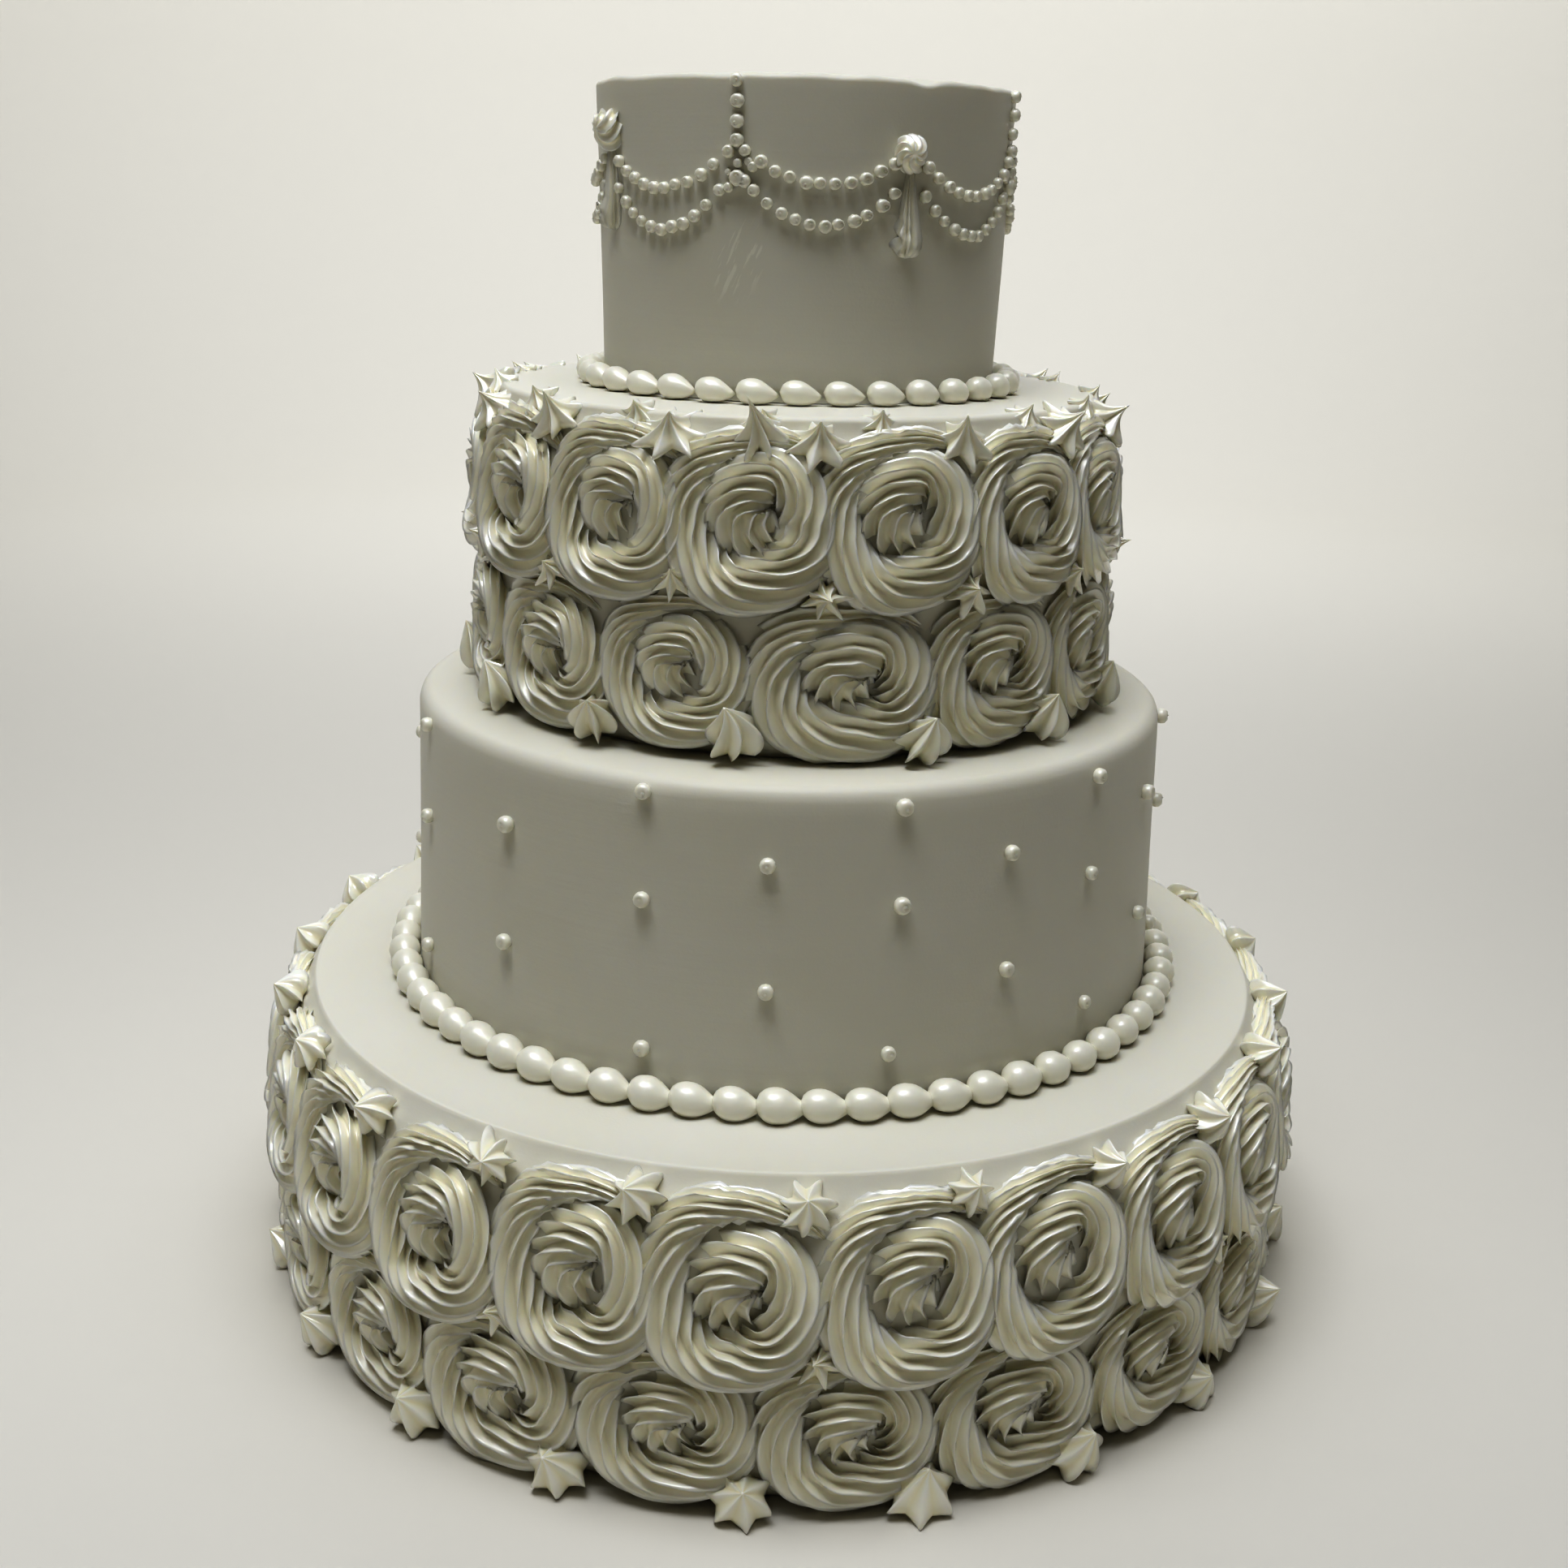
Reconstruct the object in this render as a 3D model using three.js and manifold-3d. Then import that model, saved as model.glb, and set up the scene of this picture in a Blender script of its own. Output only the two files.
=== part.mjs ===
// A four-tier wedding cake, iced in ivory buttercream.
// Two smooth tiers dotted with pearls alternate with two tiers that are covered in piped rosettes.
// Millimetres, +Z up. The origin is at the middle of the underside, and the front faces -Y.

import * as THREE from 'three';
import { mergeVertices } from 'three/addons/utils/BufferGeometryUtils.js';
import Module from 'manifold-3d';

const wasm = await Module();
wasm.setup();

const DEGREE = Math.PI / 180;
const SEAT_GAP = 0.3; // clearance between two pieces that touch
const MERGE_DISTANCE = 1e-3;

// The four iced tiers, from the bottom up. The smooth ones taper a little and have soft rims.
const TIERS = [
  { bottomRadius: 212, topRadius: 212, height: 131, rim: 3, crown: 0 },
  { bottomRadius: 162, topRadius: 158, height: 124.5, rim: 9, crown: 0 },
  { bottomRadius: 122, topRadius: 122, height: 124.5, rim: 3, crown: 0 },
  { bottomRadius: 79.5, topRadius: 82.5, height: 114, rim: 4, crown: 4 },
];
const [TIER_1, TIER_2, TIER_3, TIER_4] = TIERS;
const TIER_SIDES = 32;
const CRISP_RIM = 5; // a rim no rounder than this is a plain bevel

// Rows of piped rosettes. firstAngle is where the row starts, in degrees from the front towards +X.
// A row with a closingStep leaves that wider step where its last rosette meets its first.
const TIER_1_UPPER_ROW = {
  count: 23, firstAngle: -3.6, height: 88.5, halfWidth: 33.5, halfHeight: 36, rope: 16.5, lift: 2, seed: 100,
};
const TIER_1_LOWER_ROW = {
  count: 21, firstAngle: 7.2, height: 33.5, halfWidth: 32.5, halfHeight: 32.5, rope: 15.5, lift: 0, seed: 200,
};
const TIER_3_UPPER_ROW = {
  count: 15, firstAngle: -6.8, height: 87, halfWidth: 31.5, halfHeight: 32, rope: 13, lift: 1, seed: 300,
};
const TIER_3_LOWER_ROW = {
  count: 14, firstAngle: 10.6, height: 32, halfWidth: 30.5, halfHeight: 30.5, rope: 13, lift: 0, seed: 400,
  closingStep: 30.4,
};
const ROSETTE_SECTORS = 7;
const ROSETTE_TAIL_ANGLE = 50; // degrees from the right, where the rope's tail ends
const ROSETTE_SPIRAL = 0.12; // share of its reach that the rope loses over one turn inwards
const ROSETTE_UNEVENNESS = { angle: 0.7, height: 1.2, size: 0.025, turn: 18 };

// The rope of a rosette from its foot to the groove round its curl, as shares of the rosette's radius
// and the rope's height. The ridges of the rope turn with it.
const ROSETTE_SECTION = [
  { reach: 1.04, rise: 0 },
  { reach: 0.78, rise: 1.0 },
  { reach: 0.38, rise: 0.4 },
];
const ROSETTE_CURL_RISE = 0.8;
const ROSETTE_RIDGE_TURN = 16; // degrees clockwise from one stage of the section to the next

// Piped stars fill the gaps between the rosettes, with their peaks pulled outwards.
const STAR_TEETH = 4;
const STAR_WAIST = 0.52; // share of a star's radius at the bottom of its grooves
const BASE_CLEARANCE = 0.5; // between what is piped on a tier and the surface that the tier stands on
const CRUST_SEAT = 1.2; // the backs of rosettes and stars are flat, and clear a tier's round side by this
const TOP_STAR = { radius: 14, drop: 9, seat: 3.5, peak: 13 };
const BASE_STAR = { radius: 12, seat: 5, peak: 17 };
const STAR_WAIST_RISE = 2; // how far the grooves of a star lie in front of the tips of its teeth
const STAR_UNEVENNESS = { size: 0.06, turn: 8, height: 1.5, peak: 2 };
const STAR_OFFSET = -1.5; // degrees that the stars sit to the left of their gaps
const EXTRA_TOP_STAR_ANGLE = -5.8; // one star more, on the crest of a rosette of tier 3

// Borders of touching round beads, at the foot of each smooth tier.
const TIER_2_BORDER = { count: 65, innerRadius: 162.6, depth: 13.6, height: 13.5 };
const TIER_4_BORDER = { count: 33, innerRadius: 80.1, depth: 12.6, height: 11.5 };
const BEAD_UNEVENNESS = 0.05;
const BEAD_STATIONS = [{ along: -0.5, size: 0.5 }, { along: -0.22, size: 1 }, { along: 0.22, size: 1 }];
const BEAD_SECTION = [[0, 0], [0.9, 0], [1, 0.55], [0.45, 1]]; // shares of depth and height

const PEARL_SINK = 0.3; // how far the widest part of a pearl lies inside the side

// Single pearls on tier 2: columns of three and of two take turns, and the last few are spread
// wider to close the round.
const DOT = { radius: 3.2, rise: 3.4 };
const DOT_COLUMNS = { count: 20, firstAngle: -18.6, step: 16.7, wideSteps: 4, wideStep: 23.2 };
const THREE_DOT_HEIGHTS = [22, 79, 118];
const TWO_DOT_HEIGHTS = [48, 96];
const DOT_UNEVENNESS = { angle: 0.8, height: 1.8 };

// Pearl garlands on tier 4: every 90 degrees a rosebud with a tassel, and half-way a string of pearls.
const ROSEBUD_COUNT = 4;
const ROSEBUD_ANGLE = 28;
const ROSEBUD_STEP = 360 / ROSEBUD_COUNT;
const SWAG_SPAN = ROSEBUD_STEP / 2;
// A swag starts and ends at these shares of the span from its rosebud to its string.
const UPPER_SWAG = { pearls: 7, endHeight: 89, sag: 11.5, start: 0.15, end: 0.94 };
const LOWER_SWAG = { pearls: 7, endHeight: 80, sag: 16, start: 0.12, end: 0.9 };
const SWAG_PEARL = { radius: 2.9, rise: 3.2 };
const STRING = { pearls: 4, topHeight: 109.5, spacing: 6.5, radius: 2.9, rise: 3.2 };
const CLUSTER = { height: 79.5, radius: 4.4, rise: 4.4 };

const ROSEBUD = { radius: 6.6, depth: 8, height: 90.5, sectors: 8, twist: 34, ridge: 0.07 };
const ROSEBUD_SECTION = [
  { reach: 0.8, rise: 0 },
  { reach: 1, rise: 0.45 },
  { reach: 0.52, rise: 1 },
];
const ROSEBUD_EYE_RISE = 0.82;

// A tassel is a ridged drop that hangs below its rosebud: half its width and its depth down its length.
const TASSEL = { topHeight: 81.5, length: 26.5, ridgeShare: 0.16, halfSides: 7 };
const TASSEL_SECTION = [
  { along: 0, halfWidth: 1.7, depth: 2.2 },
  { along: 0.62, halfWidth: 4.6, depth: 4.8 },
  { along: 0.86, halfWidth: 5, depth: 5.2 },
  { along: 1, halfWidth: 2.6, depth: 3 },
];

const SMOOTH_ICING = new THREE.MeshStandardMaterial({ color: '#efeadb', roughness: 0.55, metalness: 0 });
const PIPED_ICING = new THREE.MeshStandardMaterial({ color: '#f1ecdb', roughness: 0.42, metalness: 0 });
const PEARL_ICING = new THREE.MeshStandardMaterial({ color: '#f3eee0', roughness: 0.3, metalness: 0 });

// A repeatable number from -1 to 1, so that hand-piped pieces are not all alike.
function uneven(seed) {
  const wave = Math.sin(seed * 12.9898) * 43758.5453;
  return 2 * (wave - Math.floor(wave)) - 1;
}

// The radius of a tier's side at a height above its base.
function wallRadius(tier, height) {
  return THREE.MathUtils.lerp(tier.bottomRadius, tier.topRadius, height / tier.height);
}

// A point that is across mm round a tier's side from an angle, at a height, and out mm out of it.
function wallPoint(tier, angle, height, across, out) {
  const reach = wallRadius(tier, height) + out;
  const turn = angle * DEGREE + across / reach;
  return new THREE.Vector3(reach * Math.sin(turn), -reach * Math.cos(turn), height);
}

// A closed body lofted through rings of points, counter-clockwise as seen from its peak. Its back
// is a fan about a foot point, so that it can follow a round side.
function loft(rings, peak, foot) {
  const sides = rings[0].length;
  const points = [...rings.flat(), peak, foot];
  const footIndex = points.length - 1;
  const peakIndex = footIndex - 1;
  const triangles = [];
  for (let side = 0; side < sides; side += 1) {
    const next = (side + 1) % sides;
    triangles.push(footIndex, next, side);
    for (let ring = 0; ring < rings.length - 1; ring += 1) {
      const here = ring * sides;
      const above = here + sides;
      triangles.push(here + side, here + next, above + next);
      triangles.push(here + side, above + next, above + side);
    }
    const last = (rings.length - 1) * sides;
    triangles.push(last + side, last + next, peakIndex);
  }
  const geometry = new THREE.BufferGeometry().setFromPoints(points);
  geometry.setIndex(triangles);
  return geometry;
}

// A solid that can be joined and cut. Triangles that a lathe leaves with no area on its axis go.
function solidOf(geometry) {
  const bare = geometry.clone();
  bare.deleteAttribute('normal');
  bare.deleteAttribute('uv');
  const merged = mergeVertices(bare, MERGE_DISTANCE);
  const corners = merged.index.array;
  const triangles = [];
  for (let start = 0; start < corners.length; start += 3) {
    const [a, b, c] = corners.slice(start, start + 3);
    if (a !== b && b !== c && c !== a) triangles.push(a, b, c);
  }
  return new wasm.Manifold(new wasm.Mesh({
    numProp: 3,
    vertProperties: new Float32Array(merged.attributes.position.array),
    triVerts: new Uint32Array(triangles),
  }));
}

function meshOf(name, solid, material) {
  const { vertProperties, triVerts } = solid.getMesh();
  const geometry = new THREE.BufferGeometry();
  geometry.setAttribute('position', new THREE.BufferAttribute(new Float32Array(vertProperties), 3));
  geometry.setIndex(new THREE.BufferAttribute(new Uint32Array(triVerts), 1));
  geometry.computeVertexNormals();
  const mesh = new THREE.Mesh(geometry, material);
  mesh.name = name;
  return mesh;
}

// A turned body about +Z, whose corners start at the front.
function turned(profile, sides) {
  const points = profile.map(([radius, height]) => new THREE.Vector2(radius, height));
  const geometry = new THREE.LatheGeometry(points, sides);
  geometry.rotateX(Math.PI / 2);
  return geometry;
}

// One iced tier: a plain drum with a rounded rim and, on the top tier, a slight crown.
function tierBody(tier) {
  const { bottomRadius, topRadius, height, rim, crown } = tier;
  const profile = [[0, 0], [bottomRadius, 0]];
  const arcSteps = rim > CRISP_RIM ? 2 : 1;
  for (let step = 0; step <= arcSteps; step += 1) {
    const turn = (90 * DEGREE * step) / arcSteps;
    const radius = topRadius - rim + rim * Math.cos(turn);
    profile.push([radius, height - rim + rim * Math.sin(turn)]);
  }
  profile.push([0, height + crown]);
  return solidOf(turned(profile, TIER_SIDES));
}

// The angles of a row of rosettes, in degrees.
function rowAngles(row) {
  const { count, firstAngle, closingStep } = row;
  const step = closingStep ? (360 - closingStep) / (count - 1) : 360 / count;
  return Array.from({ length: count }, (_, place) => (
    firstAngle + step * place + ROSETTE_UNEVENNESS.angle * uneven(row.seed + place)
  ));
}

// One rosette: a rope wound out from a small curl, clockwise, with its tail at the upper right.
function rosette(tier, row, angle, seed) {
  const size = 1 + ROSETTE_UNEVENNESS.size * uneven(seed + 31);
  const height = row.height + ROSETTE_UNEVENNESS.height * uneven(seed + 32);
  const tail = ROSETTE_TAIL_ANGLE + ROSETTE_UNEVENNESS.turn * uneven(seed + 33);
  const point = (reach, rise, sector, stage) => {
    const turn = (tail + (360 * sector) / ROSETTE_SECTORS - ROSETTE_RIDGE_TURN * stage) * DEGREE;
    const wound = reach * size * (1 + ROSETTE_SPIRAL * (0.5 - sector / ROSETTE_SECTORS));
    const down = -wound * Math.sin(turn);
    const out = CRUST_SEAT + rise * (row.rope - CRUST_SEAT + row.lift * down);
    const level = Math.max(BASE_CLEARANCE, height - down * row.halfHeight);
    return wallPoint(tier, angle, level, wound * row.halfWidth * Math.cos(turn), out);
  };
  const rings = ROSETTE_SECTION.map(({ reach, rise }, stage) => (
    Array.from({ length: ROSETTE_SECTORS }, (_, sector) => point(reach, rise, sector, stage))
  ));
  const curl = wallPoint(tier, angle, height, 0, ROSETTE_CURL_RISE * row.rope);
  return solidOf(loft(rings, curl, wallPoint(tier, angle, height, 0, CRUST_SEAT)));
}

function rosetteRow(tier, row) {
  return rowAngles(row).map((angle, place) => rosette(tier, row, angle, row.seed + 7 * place));
}

// One star: pointed teeth round a pulled peak.
function star(tier, angle, height, { radius, seat, peak }, seed) {
  const size = radius * (1 + STAR_UNEVENNESS.size * uneven(seed));
  const twist = STAR_UNEVENNESS.turn * uneven(seed + 1);
  const corners = 2 * STAR_TEETH;
  const ring = Array.from({ length: corners }, (_, corner) => {
    const turn = (twist + (360 * corner) / corners) * DEGREE;
    const reach = corner % 2 ? size * STAR_WAIST : size;
    const up = height + reach * Math.sin(turn);
    return wallPoint(tier, angle, up, reach * Math.cos(turn), corner % 2 ? seat + STAR_WAIST_RISE : seat);
  });
  const lean = STAR_UNEVENNESS.peak;
  const tip = wallPoint(tier, angle, height + lean * uneven(seed + 2), lean * uneven(seed + 3), peak);
  return solidOf(loft([ring], tip, wallPoint(tier, angle, height, 0, seat)));
}

// The middles of the gaps between neighbouring rosettes of a row.
function gapAngles(row) {
  const angles = rowAngles(row);
  return angles.map((angle, place) => {
    const next = place + 1 < angles.length ? angles[place + 1] : angles[0] + 360;
    return (angle + next) / 2;
  });
}

// The stars of one tier: along its top edge and at its base, in the gaps between rosettes.
function starsOf(tier, upperRow, lowerRow) {
  const stars = [];
  gapAngles(upperRow).forEach((gap, place) => {
    const seed = upperRow.seed + 50 + place;
    const height = tier.height - TOP_STAR.drop + STAR_UNEVENNESS.height * uneven(seed + 9);
    stars.push(star(tier, gap + STAR_OFFSET, height, TOP_STAR, seed));
  });
  gapAngles(lowerRow).forEach((gap, place) => {
    const height = BASE_STAR.radius * (1 + STAR_UNEVENNESS.size) + BASE_CLEARANCE;
    stars.push(star(tier, gap + STAR_OFFSET, height, BASE_STAR, lowerRow.seed + 50 + place));
  });
  return stars;
}

// All that is piped on the side of one tier. The rosettes and stars touch, so they are one crust.
function pipedCrust(tier, upperRow, lowerRow, extraStars) {
  const pieces = [
    ...rosetteRow(tier, lowerRow),
    ...rosetteRow(tier, upperRow),
    ...starsOf(tier, upperRow, lowerRow),
    ...extraStars,
  ];
  return wasm.Manifold.union(pieces);
}

// A ring of beads that stands on the tier below and touches the foot of the tier above.
// The beads run into one another at narrow necks.
function beadBorder({ count, innerRadius, depth, height }, seed) {
  const points = [];
  const triangles = [];
  const corners = BEAD_SECTION.length;
  const stations = BEAD_STATIONS.length * count;
  for (let station = 0; station < stations; station += 1) {
    const bead = Math.floor(station / BEAD_STATIONS.length);
    const { along, size } = BEAD_STATIONS[station % BEAD_STATIONS.length];
    const turn = ((360 * (bead + along)) / count) * DEGREE;
    const swell = size * (1 + BEAD_UNEVENNESS * uneven(seed + bead));
    for (const [across, up] of BEAD_SECTION) {
      const reach = innerRadius + depth * (0.5 + (across - 0.5) * swell);
      points.push(new THREE.Vector3(reach * Math.sin(turn), -reach * Math.cos(turn), up * height * swell));
    }
    const here = station * corners;
    const next = ((station + 1) % stations) * corners;
    for (let corner = 0; corner < corners; corner += 1) {
      const other = (corner + 1) % corners;
      triangles.push(here + corner, next + corner, next + other);
      triangles.push(here + corner, next + other, here + other);
    }
  }
  const geometry = new THREE.BufferGeometry().setFromPoints(points);
  geometry.setIndex(triangles);
  return solidOf(geometry);
}

// The radius of the middle of one flat facet of a tier's side.
function flatRadius(tier, height) {
  return wallRadius(tier, height) * Math.cos((180 * DEGREE) / TIER_SIDES);
}

// How far a tier's side leans outwards, in radians.
function sideLean(tier) {
  return Math.atan2(tier.topRadius - tier.bottomRadius, tier.height);
}

// One small pearl of icing with a pointed tip, half sunk into a tier's side.
function pearl(tier, angle, height, { radius, rise }) {
  const drop = new THREE.OctahedronGeometry(1, 0);
  drop.scale(radius, rise + PEARL_SINK, radius);
  drop.rotateY(45 * DEGREE);
  drop.rotateX(-sideLean(tier));
  drop.translate(0, -(flatRadius(tier, height) - PEARL_SINK), height);
  drop.rotateZ(angle * DEGREE);
  return solidOf(drop);
}

// The pearls that dot the whole side of tier 2.
function dottedPearls(tier) {
  const { count, firstAngle, step, wideSteps, wideStep } = DOT_COLUMNS;
  const pearls = [];
  for (let column = 0; column < count; column += 1) {
    const wideBefore = Math.max(0, column - (count - wideSteps));
    const angle = firstAngle + step * (column - wideBefore) + wideStep * wideBefore;
    const heights = column % 2 ? TWO_DOT_HEIGHTS : THREE_DOT_HEIGHTS;
    heights.forEach((height, place) => {
      const seed = 600 + 5 * column + place;
      const turn = angle + DOT_UNEVENNESS.angle * uneven(seed);
      const up = DOT_UNEVENNESS.height * uneven(seed + 200);
      pearls.push(pearl(tier, turn, height + up, DOT));
    });
  }
  return pearls;
}

// Half a garland, on the right of an angle. The pearls hang in a curve from one anchor to the next.
function swagPearls(tier, leftAngle, { pearls, endHeight, sag, start, end }) {
  return Array.from({ length: pearls }, (_, place) => {
    const along = THREE.MathUtils.lerp(start, end, place / (pearls - 1));
    const height = endHeight - sag * (1 - (2 * along - 1) ** 2);
    return pearl(tier, leftAngle + SWAG_SPAN * along, height, SWAG_PEARL);
  });
}

// A straight string of pearls down from the rim, which ends in a small cluster.
function pearlString(tier, angle) {
  const pearls = Array.from({ length: STRING.pearls }, (_, place) => (
    pearl(tier, angle, STRING.topHeight - STRING.spacing * place, STRING)
  ));
  pearls.push(pearl(tier, angle, CLUSTER.height, CLUSTER));
  return pearls;
}

function garlandPearls(tier) {
  const pearls = [];
  for (let bud = 0; bud < ROSEBUD_COUNT; bud += 1) {
    const budAngle = ROSEBUD_ANGLE + ROSEBUD_STEP * bud;
    const stringAngle = budAngle + SWAG_SPAN;
    for (const shape of [UPPER_SWAG, LOWER_SWAG]) {
      const { start, end } = shape;
      pearls.push(...swagPearls(tier, budAngle, shape));
      pearls.push(...swagPearls(tier, stringAngle, { ...shape, start: 1 - end, end: 1 - start }));
    }
    pearls.push(...pearlString(tier, stringAngle));
  }
  return pearls;
}

// A rosebud on its own axis: x across, z up, and -y out of the side that it sits on.
function rosebudBody() {
  const { radius, depth, sectors, twist, ridge } = ROSEBUD;
  const rings = ROSEBUD_SECTION.map(({ reach, rise }) => (
    Array.from({ length: sectors }, (_, sector) => {
      const turn = ((360 * sector) / sectors - twist * rise) * DEGREE;
      const out = reach * radius * (sector % 2 ? 1 : 1 - ridge);
      return new THREE.Vector3(out * Math.cos(turn), -rise * depth, out * Math.sin(turn));
    })
  ));
  const eye = new THREE.Vector3(0, -ROSEBUD_EYE_RISE * depth, 0);
  return solidOf(loft(rings, eye, new THREE.Vector3(0, 0, 0)));
}

// A tassel on its own axis: it hangs down from the origin, flat against y = 0.
function tasselBody() {
  const { length, ridgeShare, halfSides } = TASSEL;
  const rings = TASSEL_SECTION.map(({ along, halfWidth, depth }) => (
    Array.from({ length: halfSides }, (_, corner) => {
      const turn = (Math.PI * corner) / (halfSides - 1);
      const ridge = corner % 2 ? 1 - ridgeShare : 1;
      const out = corner === 0 || corner === halfSides - 1 ? 0 : depth * ridge * Math.sin(turn);
      return new THREE.Vector3(halfWidth * Math.cos(turn), -out, -along * length);
    })
  ));
  const middleOf = (ring) => (
    ring.reduce((sum, corner) => sum.add(corner), new THREE.Vector3()).divideScalar(halfSides)
  );
  return solidOf(loft(rings, middleOf(rings.at(-1)), middleOf(rings[0])));
}

// Sets a small piece on a tier's sloping side, at an angle in degrees and a height.
function onWall(mesh, tier, angle, height) {
  const holder = new THREE.Group();
  mesh.position.set(0, -(wallRadius(tier, height) + SEAT_GAP), height);
  mesh.rotation.x = -sideLean(tier);
  holder.rotation.z = angle * DEGREE;
  holder.add(mesh);
  return holder;
}

// Each tier stands on the one below, with what is piped on it.
const tierGroups = [];
let stackHeight = 0;
for (const tier of TIERS) {
  const group = new THREE.Group();
  group.position.z = stackHeight;
  stackHeight += tier.height + SEAT_GAP;
  tierGroups.push(group);
}
const [group1, group2, group3, group4] = tierGroups;

group1.add(meshOf('tier_1', tierBody(TIER_1), SMOOTH_ICING));
const crust1 = pipedCrust(TIER_1, TIER_1_UPPER_ROW, TIER_1_LOWER_ROW, []);
group1.add(meshOf('tier_1_rosettes', crust1, PIPED_ICING));

const dottedTier = wasm.Manifold.union([tierBody(TIER_2), ...dottedPearls(TIER_2)]);
group2.add(meshOf('tier_2', dottedTier, SMOOTH_ICING));
group2.add(meshOf('tier_2_bead_border', beadBorder(TIER_2_BORDER, 700), PEARL_ICING));

group3.add(meshOf('tier_3', tierBody(TIER_3), SMOOTH_ICING));
const crestStar = star(TIER_3, EXTRA_TOP_STAR_ANGLE, TIER_3.height - TOP_STAR.drop, TOP_STAR, 800);
const crust3 = pipedCrust(TIER_3, TIER_3_UPPER_ROW, TIER_3_LOWER_ROW, [crestStar]);
group3.add(meshOf('tier_3_rosettes', crust3, PIPED_ICING));

const garlandedTier = wasm.Manifold.union([tierBody(TIER_4), ...garlandPearls(TIER_4)]);
group4.add(meshOf('tier_4', garlandedTier, SMOOTH_ICING));
group4.add(meshOf('tier_4_bead_border', beadBorder(TIER_4_BORDER, 900), PEARL_ICING));
for (let bud = 0; bud < ROSEBUD_COUNT; bud += 1) {
  const angle = ROSEBUD_ANGLE + ROSEBUD_STEP * bud;
  const rosebud = meshOf(`tier_4_rosebud_${bud + 1}`, rosebudBody(), PIPED_ICING);
  const tassel = meshOf(`tier_4_tassel_${bud + 1}`, tasselBody(), PEARL_ICING);
  group4.add(onWall(rosebud, TIER_4, angle, ROSEBUD.height));
  group4.add(onWall(tassel, TIER_4, angle, TASSEL.topHeight));
}

const cake = new THREE.Group();
cake.add(group1, group2, group3, group4);

export default cake;
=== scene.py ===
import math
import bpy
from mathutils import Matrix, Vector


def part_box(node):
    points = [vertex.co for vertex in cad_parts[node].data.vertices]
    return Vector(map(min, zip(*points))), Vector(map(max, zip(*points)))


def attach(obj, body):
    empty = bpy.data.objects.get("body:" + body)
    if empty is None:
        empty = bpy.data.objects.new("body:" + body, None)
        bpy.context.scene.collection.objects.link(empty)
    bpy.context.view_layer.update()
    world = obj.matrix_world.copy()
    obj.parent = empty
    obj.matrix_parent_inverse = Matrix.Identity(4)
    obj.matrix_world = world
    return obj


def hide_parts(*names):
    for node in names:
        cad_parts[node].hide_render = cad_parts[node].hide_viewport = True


bl_info = {
    "name": "Tiered wedding cake",
    "version": (1, 0, 0),
    "blender": (4, 5, 0),
    "location": "View3D > Sidebar > Cake",
    "description": "Ices, pipes and dresses a four-tier wedding cake in ivory buttercream",
    "category": "Add Mesh",
}

import bmesh
import bpy
from bpy.props import FloatProperty, FloatVectorProperty, IntProperty, PointerProperty
from mathutils import Matrix, Vector, noise

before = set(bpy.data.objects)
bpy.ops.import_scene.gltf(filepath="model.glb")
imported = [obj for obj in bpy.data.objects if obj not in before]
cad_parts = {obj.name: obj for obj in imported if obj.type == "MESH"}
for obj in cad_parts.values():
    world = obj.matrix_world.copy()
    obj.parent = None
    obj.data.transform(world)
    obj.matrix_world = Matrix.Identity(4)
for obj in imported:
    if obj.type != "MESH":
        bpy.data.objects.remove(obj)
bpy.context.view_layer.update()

MM = 0.001
TURN = 2 * math.pi

# ---------------------------------------------------------------------------------------------
# Where things are. Angles are in degrees from the front, -Y, towards +X. Lengths are in
# millimetres until a tier's side puts them into the cake's frame.
# ---------------------------------------------------------------------------------------------


def uneven(seed):
    """A repeatable number from -1 to 1, so that hand-piped pieces are not all alike.

    A piece adds a small number of its own to its seed for each thing that varies.
    """
    wave = math.sin(seed * 12.9898) * 43758.5453
    return 2 * (wave - math.floor(wave)) - 1


class Tier:
    """One iced drum. Its base and height come from its solid."""

    def __init__(self, node, bottom_radius, top_radius, rim, crown=0.0, swell=0.0, bevel=None):
        low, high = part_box(node)
        self.node = node
        self.base = low.z / MM
        self.height = (high.z - low.z) / MM - crown
        self.bottom_radius = bottom_radius
        self.top_radius = top_radius
        self.rim = rim
        self.crown = crown
        self.swell = swell  # thickness of the icing that is spread behind a crust of rosettes
        self.bevel = bevel  # how far a slanted rim runs in and down, instead of a round one

    def radius(self, height):
        return self.bottom_radius + (self.top_radius - self.bottom_radius) * height / self.height

    def side(self, angle, height):
        """A function that puts (across, up, out) from a spot on the side into the cake's frame."""
        turn = math.radians(angle)
        reach = self.radius(height)

        def place(across, up, out):
            around = turn + across / reach
            radius = (self.radius(height + up) + out) * MM
            level = (self.base + height + up) * MM
            return Vector((radius * math.sin(around), -radius * math.cos(around), level))

        return place


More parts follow.
